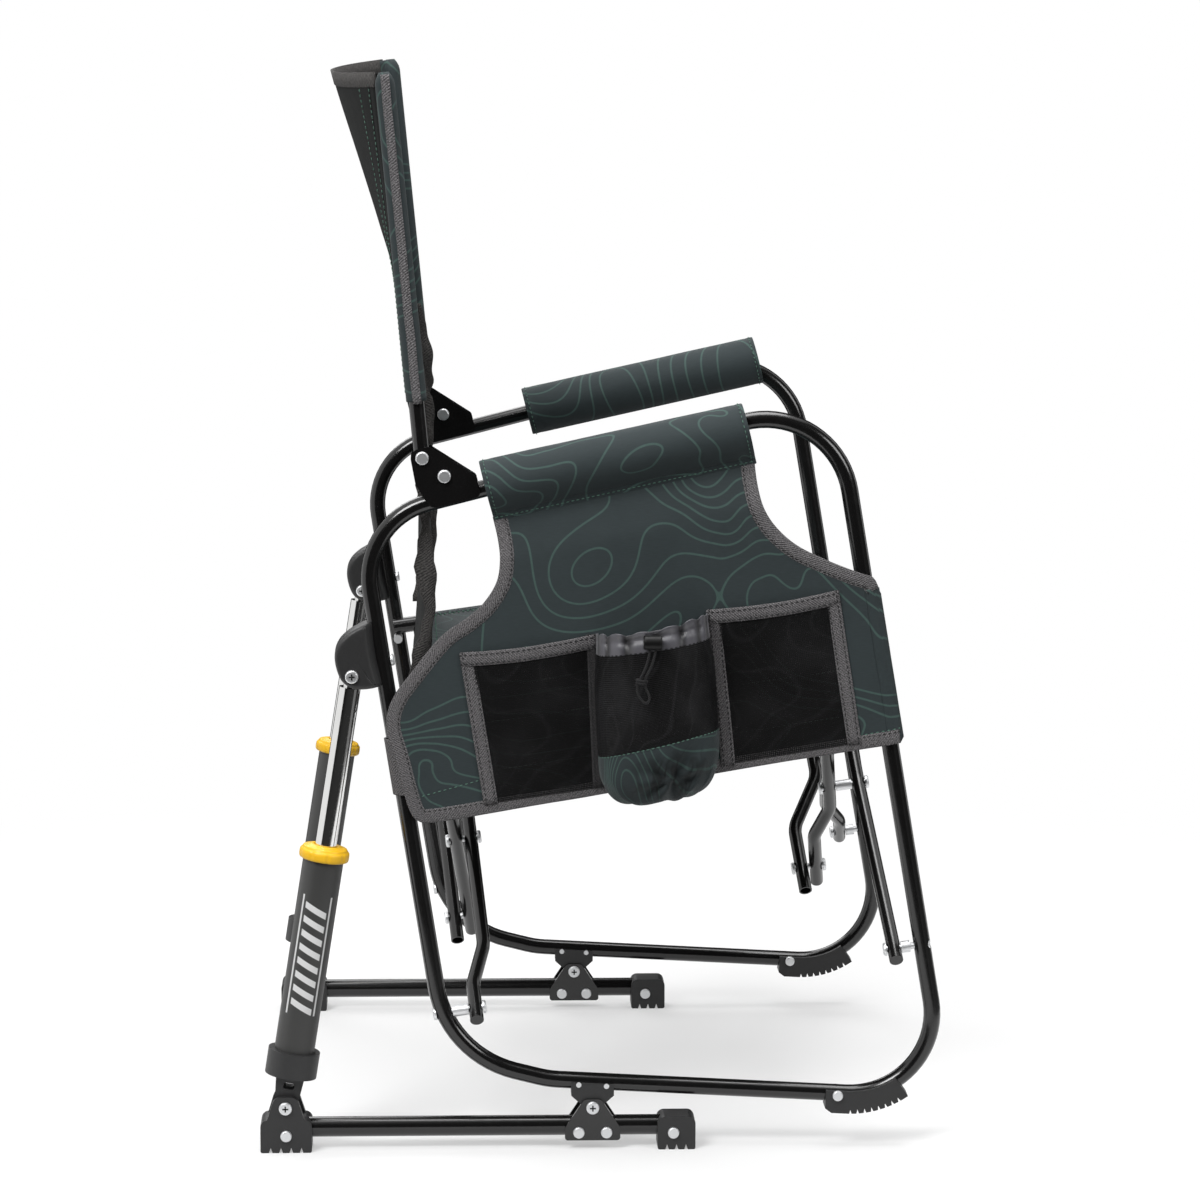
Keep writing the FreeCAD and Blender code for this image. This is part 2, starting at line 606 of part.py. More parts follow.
nodes["right_arm_sleeve"] = arm_sleeve(RIGHT_SLEEVE)
left_sleeve = arm_sleeve(LEFT_SLEEVE)

# Spring piston
PISTON_DIR = PIN_T.sub(PIN_B)
STROKE_LEN = PISTON_DIR.Length
PISTON_DIR.normalize()


def on_piston(d):
    return PIN_B.add(PISTON_DIR * d)


bore = CYL_R - CYL_WALL
barrel_floor = COLLAR_FROM + 8.0
knuckle_side = Vector(PISTON_DIR.z, 0, -PISTON_DIR.x)
neck_outline = []
for side, d in ((-EYE_R, 0), (-EYE_R - 3, COLLAR_FROM + 1), (EYE_R + 3, COLLAR_FROM + 1), (EYE_R, 0)):
    p = on_piston(d).add(knuckle_side * side)
    neck_outline.append((p.x, p.z))
neck = plate_xz(neck_outline, SIDE_Y - EYE_HALF, SIDE_Y + EYE_HALF)
eye = Part.makeCylinder(EYE_R, 2 * EYE_HALF, PIN_B.sub(AXIS_Y * EYE_HALF), AXIS_Y)
cup = rod(on_piston(COLLAR_FROM), on_piston(COLLAR_TO), COLLAR_R)
cup = cup.cut(rod(on_piston(barrel_floor), on_piston(COLLAR_TO + 5), CYL_R + SEAT_FIT))
knuckle = fused([neck, eye, cup])
knuckle = knuckle.cut(Part.makeCylinder(BOLT_R + RUN, 60, PIN_B.sub(AXIS_Y * 30), AXIS_Y))
slot_outline = []
for side, d in ((-EYE_R * 0.5, 17), (-EYE_R * 0.5, 23), (EYE_R * 0.5, 23), (EYE_R * 0.5, 17)):
    p = on_piston(d).add(knuckle_side * side)
    slot_outline.append((p.x, p.z))
knuckle = knuckle.cut(rounded_xz(slot_outline, [2.5] * 4, SIDE_Y - 30, SIDE_Y + 30))
nodes["right_knuckle"] = knuckle
shell = rod(on_piston(barrel_floor + SEAT_FIT), on_piston(CYL_TO), CYL_R)
floor_top = barrel_floor + 6.0
nodes["right_cylinder"] = shell.cut(rod(on_piston(floor_top), on_piston(CYL_TO + 5), bore))
ring = rod(on_piston(CYL_TO - 10), on_piston(RING_TO), RING_R)
ring = ring.makeFillet(1.5, [e for e in ring.Edges if e.isClosed() and abs(e.Length - 2 * math.pi * RING_R) < 1])
ring = ring.cut(rod(on_piston(CYL_TO - 11), on_piston(CYL_TO + SEAT_FIT), CYL_R + SEAT_FIT))
nodes["right_gland_ring"] = ring.cut(rod(on_piston(0), on_piston(RING_TO + 5), ROD_R + RUN))

piston = rod(on_piston(ROD_FROM), on_piston(ROD_FROM + PISTON_LEN), bore - RUN)
shaft = rod(on_piston(ROD_FROM), on_piston(STROKE_LEN - EYE_R - 2), ROD_R)
slack_r = BOLT_R + ROD_EYE_SLACK
tip = Part.makeCylinder(slack_r + ROD_EYE_WALL, 2 * ROD_EYE_HALF, PIN_T.sub(AXIS_Y * ROD_EYE_HALF), AXIS_Y)
tongue = rod(on_piston(STROKE_LEN - EYE_R - 6), PIN_T, ROD_EYE_HALF - 0.7)
plunger = fused([piston, shaft, tip, tongue])
nodes["right_piston_rod"] = plunger.cut(Part.makeCylinder(slack_r, 60, PIN_T.sub(AXIS_Y * 30), AXIS_Y))

# Coil spring under the piston: half turns of a wire wound as straight-pitched biarcs
coil_r = bore - SPRING_WIRE / 2.0 - 1.2
SPRING_FROM = floor_top + 0.3
SPRING_TO = ROD_FROM - 0.3
steps = SPRING_TURNS * 4
coil_points = []
for i in range(steps * 2 + 1):
    a = math.pi * 0.25 * i
    h = SPRING_FROM + SPRING_WIRE / 2.0 + (SPRING_TO - SPRING_FROM - SPRING_WIRE) * i / (steps * 2)
    coil_points.append(
        on_piston(h).add(knuckle_side * (coil_r * math.cos(a))).add(AXIS_Y * (coil_r * math.sin(a)))
    )
coil_edges = []
for i in range(steps):
    coil_edges.append(Part.Arc(coil_points[2 * i], coil_points[2 * i + 1], coil_points[2 * i + 2]).toShape())
coil_wire = Part.Wire(coil_edges)
start_dir = coil_edges[0].tangentAt(coil_edges[0].FirstParameter)
profile = Part.Wire(Part.makeCircle(SPRING_WIRE / 2.0, coil_points[0], start_dir))
nodes["right_coil_spring"] = coil_wire.makePipeShell([profile], True, False)
coil_pitch = (SPRING_TO - SPRING_FROM - SPRING_WIRE) / SPRING_TURNS
print("coil gap between turns %.2f mm" % (coil_pitch - SPRING_WIRE))

# Folding cross frame
strut_slope = math.atan2(RAIL_W - STRUT_FOOT_W, RAIL_V)
PIN_1 = (-SIDE_PIN_V, STRUT_FOOT_W + SIDE_PIN_V * math.tan(strut_slope))
bar_slope = math.atan2(PIN_1[1], TRACK / 2.0 - SIDE_PIN_V)
CROWN_W = PIN_1[1] + SIDE_PIN_V * math.tan(strut_slope)
bar_low = (math.cos(bar_slope), math.sin(bar_slope))
bar_high = (math.cos(strut_slope), math.sin(strut_slope))
STEP_U = 2 * BAR_R + BAR_GAP
REAR_U2 = REAR_U + STEP_U
REAR_U0 = REAR_U - STEP_U
FRONT_U2 = FRONT_U - STEP_U
FRONT_U3 = FRONT_U - 2 * STEP_U
STRUT_U1 = FRONT_U3 - 17.0
STRUT_U2 = STRUT_U1 - STEP_U
CROWN_TAIL = 12.0


def bar_point(u, d, side):
    """Point on a long bar at distance d from its lower pivot; side -1 starts on the right loop."""
    v = -TRACK / 2.0 + d * bar_low[0]
    return fold(u, v * -side, d * bar_low[1])


def bar_knee(u, side):
    return fold(u, PIN_1[0] * -side, PIN_1[1])


def bar_crown(u, side):
    return fold(u, CROWN_TAIL * bar_high[0] * -side, CROWN_W + CROWN_TAIL * bar_high[1])


def strut_point(u, d, side):
    """Point on a strut at distance d above the foot pin; side -1 rises to the right rail."""
    return fold(u, d * bar_high[0] * side, STRUT_FOOT_W + d * bar_high[1])


def drill(shape, pins, r):
    for a, b in pins:
        shape = shape.cut(rod(a, b, r))
    return shape


def cross_pin(v, w, u0, u1):
    return (fold(u0 - 40, v, w), fold(u1 + 40, v, w))


def long_bar(points, radii, side, u_lo, u_hi):
    """Bent tube with a plugged foot and clearance holes for its three pins."""
    edges = path(points, radii)
    body = tube(edges, BAR_R, BAR_WALL)
    plug_dir = points[1].sub(points[0])
    plug_dir.normalize()
    plug = rod(points[0].sub(plug_dir * 1.5), points[0].add(plug_dir * 5), BAR_R)
    body = fused([body, plug])
    pins = [
        cross_pin(-TRACK / 2.0 * -side, 0, u_lo, u_hi),
        cross_pin(PIN_1[0] * -side, PIN_1[1], u_lo, u_hi),
        cross_pin(0, CROWN_W, u_lo, u_hi),
    ]
    return drill(body, pins, BOLT_R + RUN)


KNEE = 60.0
right_side = -1
left_side = 1
front_a = [bar_point(FRONT_U, -BAR_TAIL, right_side), bar_knee(FRONT_U, right_side), bar_crown(FRONT_U, right_side)]
nodes["front_bar_a"] = long_bar(front_a, [0, KNEE, 0], right_side, FRONT_U3, FRONT_U)
front_b = [
    bar_point(FRONT_U, -BAR_TAIL, left_side), bar_point(FRONT_U, 30, left_side),
    bar_point(FRONT_U2, 78, left_side), bar_knee(FRONT_U2, left_side), bar_crown(FRONT_U2, left_side),
]
nodes["front_bar_b"] = long_bar(front_b, [0, 40, 40, KNEE, 0], left_side, FRONT_U3, FRONT_U)
rear_a = [
    bar_point(REAR_U, -BAR_TAIL, right_side), bar_point(REAR_U, 30, right_side),
    bar_point(REAR_U2, 78, right_side), bar_knee(REAR_U2, right_side), bar_crown(REAR_U2, right_side),
]
nodes["rear_bar_a"] = long_bar(rear_a, [0, 40, 40, KNEE, 0], right_side, REAR_U0, REAR_U2)
rear_b = [bar_point(REAR_U, -BAR_TAIL, left_side), bar_knee(REAR_U, left_side), bar_crown(REAR_U, left_side)]
nodes["rear_bar_b"] = long_bar(rear_b, [0, KNEE, 0], left_side, REAR_U0, REAR_U2)

RAIL_LEN = RAIL_V / bar_high[0]
right_rail_solid = rod(fold(RAIL_U[0], -RAIL_V, RAIL_W), fold(RAIL_U[1], -RAIL_V, RAIL_W), RAIL_R)
right_rail_bore = rod(fold(RAIL_U[0] + 4, -RAIL_V, RAIL_W), fold(RAIL_U[1] - 4, -RAIL_V, RAIL_W), RAIL_R - RAIL_WALL)


def strut(points, radii, side, u_lo, u_hi):
    body = tube(path(points, radii), BAR_R, BAR_WALL)
    rail = right_rail_solid if side == right_side else mirrored(right_rail_solid)
    pins = [
        cross_pin(PIN_1[0] * -side, PIN_1[1], u_lo, u_hi),
        cross_pin(0, STRUT_FOOT_W, u_lo, u_hi),
    ]
    return drill(body.cut(rail), pins, BOLT_R + RUN)


nodes["right_front_strut"] = strut(
    [
        strut_point(FRONT_U3, RAIL_LEN, right_side), strut_point(FRONT_U3, 100, right_side),
        strut_point(STRUT_U1, 55, right_side), strut_point(STRUT_U1, -STRUT_TAIL, right_side),
    ],
    [0, 36, 36, 0], right_side, STRUT_U2, FRONT_U,
)
nodes["left_front_strut"] = strut(
    [
        strut_point(FRONT_U3, RAIL_LEN, left_side), strut_point(FRONT_U3, 106, left_side),
        strut_point(STRUT_U2, 48, left_side), strut_point(STRUT_U2, -STRUT_TAIL, left_side),
    ],
    [0, 36, 36, 0], left_side, STRUT_U2, FRONT_U,
)
nodes["right_rear_strut"] = strut(
    [strut_point(REAR_U, RAIL_LEN, right_side), strut_point(REAR_U, -STRUT_TAIL, right_side)],
    [0, 0], right_side, REAR_U0, REAR_U2,
)
nodes["left_rear_strut"] = strut(
    [strut_point(REAR_U0, RAIL_LEN, left_side), strut_point(REAR_U0, -STRUT_TAIL, left_side)],
    [0, 0], left_side, REAR_U0, REAR_U2,
)
vent = [(fold(FRONT_U3, -RAIL_V, RAIL_W), strut_point(FRONT_U3, RAIL_LEN - 12, right_side))]
vent.append((fold(REAR_U, -RAIL_V, RAIL_W), strut_point(REAR_U, RAIL_LEN - 12, right_side)))
nodes["right_seat_rail"] = drill(right_rail_solid.cut(right_rail_bore), vent, 2.0)
nodes["left_seat_rail"] = mirrored(nodes["right_seat_rail"])

# Pins of the cross frame; each sits on the body that carries it
pin_off = BAR_R + RUN


def frame_pin(v, w, u0, u1):
    return bolt(fold(u0 - pin_off, v, w), fold(u1 + pin_off, v, w))


nodes["front_crown_pin"] = frame_pin(0, CROWN_W, FRONT_U2, FRONT_U)
nodes["rear_crown_pin"] = frame_pin(0, CROWN_W, REAR_U, REAR_U2)
knee_spacer = rod(
    fold(FRONT_U3 + pin_off, PIN_1[0], PIN_1[1]), fold(FRONT_U - pin_off, PIN_1[0], PIN_1[1]), BOLT_R + 2.0
)
nodes["right_strut_pins"] = Part.makeCompound([
    fused([frame_pin(PIN_1[0], PIN_1[1], FRONT_U3, FRONT_U), knee_spacer]),
    frame_pin(PIN_1[0], PIN_1[1], REAR_U, REAR_U2),
    frame_pin(0, STRUT_FOOT_W, STRUT_U2, STRUT_U1),
    frame_pin(0, STRUT_FOOT_W, REAR_U0, REAR_U),
])
nodes["left_strut_pins"] = Part.makeCompound([
    frame_pin(-PIN_1[0], PIN_1[1], FRONT_U3, FRONT_U2),
    frame_pin(-PIN_1[0], PIN_1[1], REAR_U0, REAR_U),
])

# Back poles
pole_top = PIN_K.add(pole_dir * POLE_UP)
pole_end = PIN_K.sub(pole_dir * POLE_TAIL)
pole = rod(pole_end, pole_top, POLE_R)
dome = Part.makeSphere(POLE_R, pole_top)
pole = fused([pole, dome]).cut(rod(pole_end, pole_top, POLE_R - POLE_WALL))
nodes["right_back_pole"] = pole.cut(Part.makeCylinder(BOLT_R + RUN, 60, PIN_K.sub(AXIS_Y * 30), AXIS_Y))


def cloth_web(a, b, face, sag_to, length_dir):
    """Thin web from a to b, arched by sag_to, extruded along length_dir; face is its thickness direction."""
    mid = a.add(b) * 0.5
    t = face * CLOTH
    e1 = Part.Arc(a, mid.add(sag_to), b).toShape()
    e2 = Part.LineSegment(b, b.add(t)).toShape()
    e3 = Part.Arc(b.add(t), mid.add(sag_to).add(t), a.add(t)).toShape()
    e4 = Part.LineSegment(a.add(t), a).toShape()
    return Part.Face(Part.Wire([e1, e2, e3, e4])).extrude(length_dir)


# Seat sling: hems round both rails, cut away where the struts meet the rails
HEM_IN = RAIL_R + RUN
HEM_OUT = HEM_IN + CLOTH
seat_run = FOLD_DIR * (SEAT_U[1] - SEAT_U[0])
hems = []
for v in (-RAIL_V, RAIL_V):
    hems.append(rod(fold(SEAT_U[0], v, RAIL_W), fold(SEAT_U[1], v, RAIL_W), HEM_OUT))
seat_web = cloth_web(
    fold(SEAT_U[0], -RAIL_V, RAIL_W + HEM_IN), fold(SEAT_U[0], RAIL_V, RAIL_W + HEM_IN), FOLD_UP,
    FOLD_UP * -SEAT_SAG, seat_run,
)
seat = fused(hems + [seat_web])
NOTCH = BAR_R + 4.0
for v, side in ((-RAIL_V, -1), (RAIL_V, 1)):
    seat = seat.cut(rod(fold(SEAT_U[0] - 1, v, RAIL_W), fold(SEAT_U[1] + 1, v, RAIL_W), HEM_IN))
for u in (REAR_U0, REAR_U, FRONT_U3):
    for side in (-1, 1):
        v0 = side * (RAIL_V + HEM_OUT + 3)
        v1 = side * (RAIL_V - 34)
        pts = [fold(u - NOTCH, v0, RAIL_W + 1), fold(u - NOTCH, v1, RAIL_W + 1),
               fold(u - NOTCH, v1, RAIL_W - 40), fold(u - NOTCH, v0, RAIL_W - 40)]
        seat = seat.cut(Part.Face(Part.makePolygon(pts + [pts[0]])).extrude(FOLD_DIR * (2 * NOTCH)))
nodes["seat_sling"] = seat

# Back sling: sleeves on both poles and a web that hollows rearward towards its top edge
SLV_IN = POLE_R + 0.3
SLV_OUT = SLV_IN + CLOTH
pole_back = pole_front * -1


def back_edge(d, sag):
    a = PIN_K.add(pole_dir * d).add(pole_back * SLV_IN)
    b = Vector(a.x, -a.y, a.z)
    mid = Vector(a.x, 0, a.z).add(pole_back * sag)
    t = pole_back * CLOTH
    return Part.Wire([
        Part.Arc(a, mid, b).toShape(), Part.LineSegment(b, b.add(t)).toShape(),
        Part.Arc(b.add(t), mid.add(t), a.add(t)).toShape(), Part.LineSegment(a.add(t), a).toShape(),
    ])


BACK_TO = POLE_UP + POLE_R + 2.0
levels = [(BACK_FROM, 4.0), (BACK_FROM + 110, 10.0), (BACK_FROM + 205, 24.0), (BACK_TO, BACK_SAG)]
back_web = Part.makeLoft([back_edge(d, s) for d, s in levels], True, False)
sleeves = []
for y in (SIDE_Y, -SIDE_Y):
    low = Vector(PIN_K.x, y, PIN_K.z).add(pole_dir * BACK_FROM)
    top = Vector(PIN_K.x, y, PIN_K.z).add(pole_dir * BACK_TO)
    sleeves.append(rod(low, top, SLV_OUT))
back_cloth = fused(sleeves + [back_web])
for y in (SIDE_Y, -SIDE_Y):
    low = Vector(PIN_K.x, y, PIN_K.z).add(pole_dir * (BACK_FROM - 5))
    top = Vector(PIN_K.x, y, PIN_K.z).add(pole_dir * POLE_UP)
    cap = Part.makeSphere(SLV_IN, top)
    back_cloth = back_cloth.cut(fused([rod(low, top, SLV_IN), cap]))
nodes["back_sling"] = back_cloth

# Curtain between the back and the seat's rear edge, hung inside the loops
CURTAIN_IN = LOOP_R + CLEAR + 3.0
curtain_x = POLE_PIVOT[0] + 15.3
curtain_outline = [
    (curtain_x, POLE_PIVOT[1] + 26.0), (curtain_x + CLOTH, POLE_PIVOT[1] + 26.0),
    (curtain_x + CLOTH - 16.0, CURTAIN_BOTTOM), (curtain_x - 16.0, CURTAIN_BOTTOM),
]
nodes["back_curtain"] = plate_xz(curtain_outline, SIDE_Y + CURTAIN_IN, -SIDE_Y - CURTAIN_IN)

# Side panel with its pockets, outside the right loop
panel_y = SIDE_Y - PANEL_OFF
HANG = RIGHT_SLEEVE[1] * math.sqrt(1.0 - (PANEL_OFF / SLEEVE_HALF_Y) ** 2) + 0.3


def under_sleeve(along):
    at, rise = sleeve_middle(RIGHT_SLEEVE, along)
    return arm(at, rise - HANG)


panel_points = [
    under_sleeve(6.0), (-83.0, 552.0), (-97.0, 517.0), (-174.0, 449.0), (-193.5, 408.0), (-164.0, 314.0),
    (front_leg(388.0) + 9.0, 388.0), (front_leg(531.0) + 8.0, 531.0), (200.0, 561.0), (157.0, 601.0),
    under_sleeve(SLEEVE_LEN - 6.0),
]
panel_bends = [3, 34, 30, 18, 24, 16, 8, 12, 30, 40, 3]
nodes["side_panel"] = rounded_xz(panel_points, panel_bends, panel_y - CLOTH, panel_y)
pocket_y = panel_y - CLOTH - SEAT_FIT


def mesh_pocket(outline, bends):
    """Shallow open-topped pocket: outer net, side and bottom folds against the panel."""
    y1 = pocket_y - POCKET_DEPTH
    body = rounded_xz(outline, bends, y1, pocket_y)
    cx = sum(p[0] for p in outline) / 4.0
    cz = sum(p[1] for p in outline) / 4.0
    inside = []
    for i, (x, z) in enumerate(outline):
        lift = 20.0 if i < 2 else 0.0
        dx = -1.6 if x > cx else 1.6
        dz = lift if z > cz else 1.6
        inside.append((x + dx, z + dz))
    return body.cut(rounded_xz(inside, [1, 1, bends[2], bends[3]], y1 + 1.2, pocket_y + 1))


holder_mid = (HOLDER_X[0] + HOLDER_X[1]) / 2.0
rear_pocket = [(-124.0, 473.0), (HOLDER_X[0] - 1.0, 490.0), (HOLDER_X[0] - 1.0, 346.0), (-102.0, 332.0)]
front_pocket = [(HOLDER_X[1] + 1.0, 513.0), (225.5, 530.0), (248.0, 390.0), (HOLDER_X[1] + 1.0, 365.0)]
nodes["rear_mesh_pocket"] = mesh_pocket(rear_pocket, [2, 2, 3, 14])
nodes["front_mesh_pocket"] = mesh_pocket(front_pocket, [2, 2, 14, 3])

# Gathered drink holder: open bag with a rounded bottom
holder_w = HOLDER_X[1] - HOLDER_X[0]


def bag(z, inset, grow):
    """D-shaped outline of the bag at height z, drawn in by inset and reduced by grow."""
    x0 = HOLDER_X[0] + inset + grow
    x1 = HOLDER_X[1] - inset - grow
    y0 = pocket_y - grow
    y1 = pocket_y - HOLDER_DEPTH + inset * 1.2 + grow
    ym = y0 - (y0 - y1) * 0.45
    a = Vector(x0, y0, z)
    b = Vector(x1, y0, z)
    c = Vector(x1, ym, z)
    d = Vector(x0, ym, z)
    return Part.Wire([
        Part.LineSegment(a, b).toShape(), Part.LineSegment(b, c).toShape(),
        Part.Arc(c, Vector((x0 + x1) / 2.0, y1, z), d).toShape(), Part.LineSegment(d, a).toShape(),
    ])


RIM = HOLDER_TOP + 14.0
bag_levels = [(HOLDER_BOTTOM, 22.0), (HOLDER_BOTTOM + 14, 6.0), (HOLDER_BOTTOM + 40, 0.5), (RIM, 2.0)]
bag_out = Part.makeLoft([bag(z, i, 0.0) for z, i in bag_levels], True, True)
in_levels = [(HOLDER_BOTTOM + CLOTH, 22.0), (HOLDER_BOTTOM + 14, 6.0), (HOLDER_BOTTOM + 40, 0.5), (RIM + 1, 2.0)]
bag_in = Part.makeLoft([bag(z, i, CLOTH) for z, i in in_levels], True, True)
rim_reach = holder_w / 2.0 + 6.0
above_rim = plate_xz(
    [
        (holder_mid - rim_reach, HOLDER_TOP - HOLDER_TILT * rim_reach),
        (holder_mid + rim_reach, HOLDER_TOP + HOLDER_TILT * rim_reach),
        (holder_mid + rim_reach, RIM + 20), (holder_mid - rim_reach, RIM + 20),
    ],
    pocket_y - HOLDER_DEPTH - 5, pocket_y + 5,
)
nodes["drink_holder"] = bag_out.cut(bag_in).cut(above_rim)

# Cord lock and the two tails of the draw cord
lock_y = pocket_y - HOLDER_DEPTH + 2.4 - LOCK_R - 0.5
LOCK_AT = Vector(holder_mid - 8.0, lock_y, HOLDER_TOP - 5.0)
lock = Part.makeCylinder(LOCK_R, LOCK_LEN, LOCK_AT.sub(Vector(LOCK_LEN / 2.0, 0, 0)), Vector(1, 0, 0))
lock = lock.makeFillet(1.5, [e for e in lock.Edges if e.isClosed()])
for dx in (-2.6, 2.6):
    p = Vector(LOCK_AT.x + dx, LOCK_AT.y, LOCK_AT.z - LOCK_R - 1)
    lock = lock.cut(Part.makeCylinder(CORD_R + 0.1, LOCK_R + 1.5, p, AXIS_Z))
nodes["cord_lock"] = lock
cord_y = LOCK_AT.y
loop_points = [
    Vector(LOCK_AT.x - 2.6, cord_y, LOCK_AT.z - LOCK_R - 0.4),
    Vector(LOCK_AT.x - 4.5, cord_y - 0.6, LOCK_AT.z - 20.0),
    Vector(LOCK_AT.x - 13.5, cord_y - 1.0, LOCK_AT.z - 37.0),
    Vector(LOCK_AT.x - 14.5, cord_y - 1.0, LOCK_AT.z - 47.0),
    Vector(LOCK_AT.x - 6.5, cord_y - 1.0, LOCK_AT.z - 57.5),
    Vector(LOCK_AT.x - 1.5, cord_y - 1.0, LOCK_AT.z - 51.0),
    Vector(LOCK_AT.x - 9.3, cord_y - 1.0, LOCK_AT.z - 36.0),
    Vector(LOCK_AT.x + 0.4, cord_y - 0.6, LOCK_AT.z - 20.0),
    Vector(LOCK_AT.x + 2.6, cord_y, LOCK_AT.z - LOCK_R - 0.4),
]
cord_radii = [0.0]
for i in range(1, len(loop_points) - 1):
    da = loop_points[i - 1].sub(loop_points[i])
    db = loop_points[i + 1].sub(loop_points[i])
    turn = math.pi - da.getAngle(db)
    cord_radii.append(0.45 * min(da.Length, db.Length) / math.tan(turn / 2.0))
cord_radii.append(0.0)
print("cord radii", ["%.1f" % r for r in cord_radii[1:-1]])
nodes["draw_cord"] = sweep(path(loop_points, cord_radii), CORD_R)

# Left side: mirrored copies of the right-hand pieces
for name in list(nodes):
    twin = name.replace("right_", "left_")
    if name.startswith("right_") and twin not in nodes:
        nodes[twin] = mirrored(left_sleeve if name == "right_arm_sleeve" else nodes[name])

box = FreeCAD.BoundBox()
for shape in nodes.values():
    box.add(shape.optimalBoundingBox(False))
SHIFT = Vector(-(box.XMin + box.XMax) / 2.0, -(box.YMin + box.YMax) / 2.0, -box.ZMin)
for name, shape in nodes.items():
    shape.translate(SHIFT)
    shape.exportStep("parts/%s.step" % name)
print("nodes", len(nodes), "box", [round(v, 1) for v in (box.XLength, box.YLength, box.ZLength)])
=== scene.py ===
"""Looks of a folding rocking camp chair: sewn cloth, bindings, pockets, cord, stitches and finishes.

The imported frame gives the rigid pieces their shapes. This file sews the soft pieces over them,
moulds the gland rings and the piston housings more finely, and gives each surface its material.
Drawing sizes are in millimetres in the part's own frame (+X front, +Y the sitter's left, +Z up) and
go through place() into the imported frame.
"""
import math
from itertools import accumulate

import bmesh
import bpy
from bpy.props import FloatProperty, FloatVectorProperty, PointerProperty
from mathutils import Matrix, Vector, noise
from mathutils.geometry import delaunay_2d_cdt


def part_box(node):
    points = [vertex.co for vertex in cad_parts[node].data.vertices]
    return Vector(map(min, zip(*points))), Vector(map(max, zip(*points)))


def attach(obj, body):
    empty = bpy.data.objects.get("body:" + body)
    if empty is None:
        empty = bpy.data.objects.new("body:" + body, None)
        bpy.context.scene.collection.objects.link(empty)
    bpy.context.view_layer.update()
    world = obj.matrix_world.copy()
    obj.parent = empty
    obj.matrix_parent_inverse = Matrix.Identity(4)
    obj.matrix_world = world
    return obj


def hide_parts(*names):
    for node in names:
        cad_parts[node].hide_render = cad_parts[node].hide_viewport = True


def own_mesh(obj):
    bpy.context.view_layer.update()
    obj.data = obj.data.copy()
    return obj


bl_info = {
    "name": "Rocking camp chair",
    "version": (1, 0, 0),
    "blender": (4, 5, 0),
    "location": "View3D > Sidebar > Camp chair",
    "description": "Sews the soft pieces of a folding rocking chair and gives every piece its finish",
    "category": "Object",
}

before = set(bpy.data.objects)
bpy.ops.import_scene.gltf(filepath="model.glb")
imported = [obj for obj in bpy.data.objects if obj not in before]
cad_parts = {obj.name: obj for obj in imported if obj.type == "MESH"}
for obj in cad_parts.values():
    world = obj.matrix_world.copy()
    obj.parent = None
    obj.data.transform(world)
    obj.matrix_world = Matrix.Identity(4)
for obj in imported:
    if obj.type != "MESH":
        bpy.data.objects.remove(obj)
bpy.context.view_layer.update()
MM = 0.001


def middle(node):
    lo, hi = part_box(node)
    return (lo + hi) / 2


# Drawing frame of the part: the right side's plane, and corners of the side loop as (x, z)
SIDE = -280.0
ORIGIN = Vector((middle("right_hinge_bracket").x, middle("right_base_rail").y - SIDE * MM, 0))
REAR_CORNERS = ((-136.0, 89.0), (-216.3, 593.9))
FRONT_CORNERS = ((334.3, 44.2), (222.0, 706.0))
HINGE = (0.0, 40.0)

# The piston: its foot's pivot, its top eye and the direction from one to the other
PISTON_FOOT = (-287.4, 42.7)
PISTON_EYE = (-223.4, 450.7)
PISTON_LEAN = (0.15497, 0.98792)

# The arm, from the back pole's foot forward, and the front bend where it leaves its line
POLE_X = -158.0
ARM_REAR = Vector(REAR_CORNERS[1])
ARM_DIR = (Vector(FRONT_CORNERS[1]) - ARM_REAR).normalized()
ARM_UP = Vector((-ARM_DIR.y, ARM_DIR.x))
ARM_AT = ARM_REAR + ARM_DIR * ((POLE_X - ARM_REAR.x) / ARM_DIR.x)
BEND_AT = 305.4
BEND_RADIUS = 80.0

# The back poles, the folding frame's slope with its seat rails, and the side panel's plane
POLE_PIVOT = Vector((POLE_X, 652.5))
POLE_LEAN = math.radians(5.5)
POLE_DIR = Vector((-math.sin(POLE_LEAN), math.cos(POLE_LEAN)))
POLE_BACK = Vector((-POLE_DIR.y, POLE_DIR.x))
FOLD_REAR = Vector((-138.3, 129.7))
FOLD_DIR = (Vector((305.2, 191.7)) - FOLD_REAR).normalized()
FOLD_UP = Vector((-FOLD_DIR.y, FOLD_DIR.x))
RAIL_V = 261.0
RAIL_W = 288.0
STRUT_U = (14.0, 29.0, 389.0)
PANEL_Y = -291.4

# Half width of the back's skirt and curtain
CLOTH_HALF = 262.0

# The drink holder's cloth: girth, place on the cut, columns in all and along the panel, the front's
# run, and the shares of its height at which the band and the net end
HOLDER_GIRTH = 330.0
HOLDER_CUT = 1500.0
HOLDER_COLS = 88
HOLDER_BACK = 16
HOLDER_FRONT = 71.0
HOLDER_RUN = 132.6
HOLDER_SKIP = HOLDER_BACK * HOLDER_RUN / HOLDER_FRONT
HOLDER_BAND = 0.117
HOLDER_SEAM = 0.694


def place(x, y, z):
    """A point of the drawing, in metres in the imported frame."""
    return Vector((x * MM, y * MM, z * MM)) + ORIGIN


def arm(along, up, y):
    """A drawing point by its distance along the arm and above it."""
    p = ARM_AT + ARM_DIR * along + ARM_UP * up
    return Vector((p.x, y, p.y))


def pole(up, back, y):
    """A drawing point by its distance up the back poles and behind them."""
    p = POLE_PIVOT + POLE_DIR * up + POLE_BACK * back
    return Vector((p.x, y, p.y))


def fold(u, v, w):
    """A drawing point on the folding frame's slope: u forward, v across, w above it."""
    p = FOLD_REAR + FOLD_DIR * u + FOLD_UP * w
    return Vector((p.x, v, p.y))


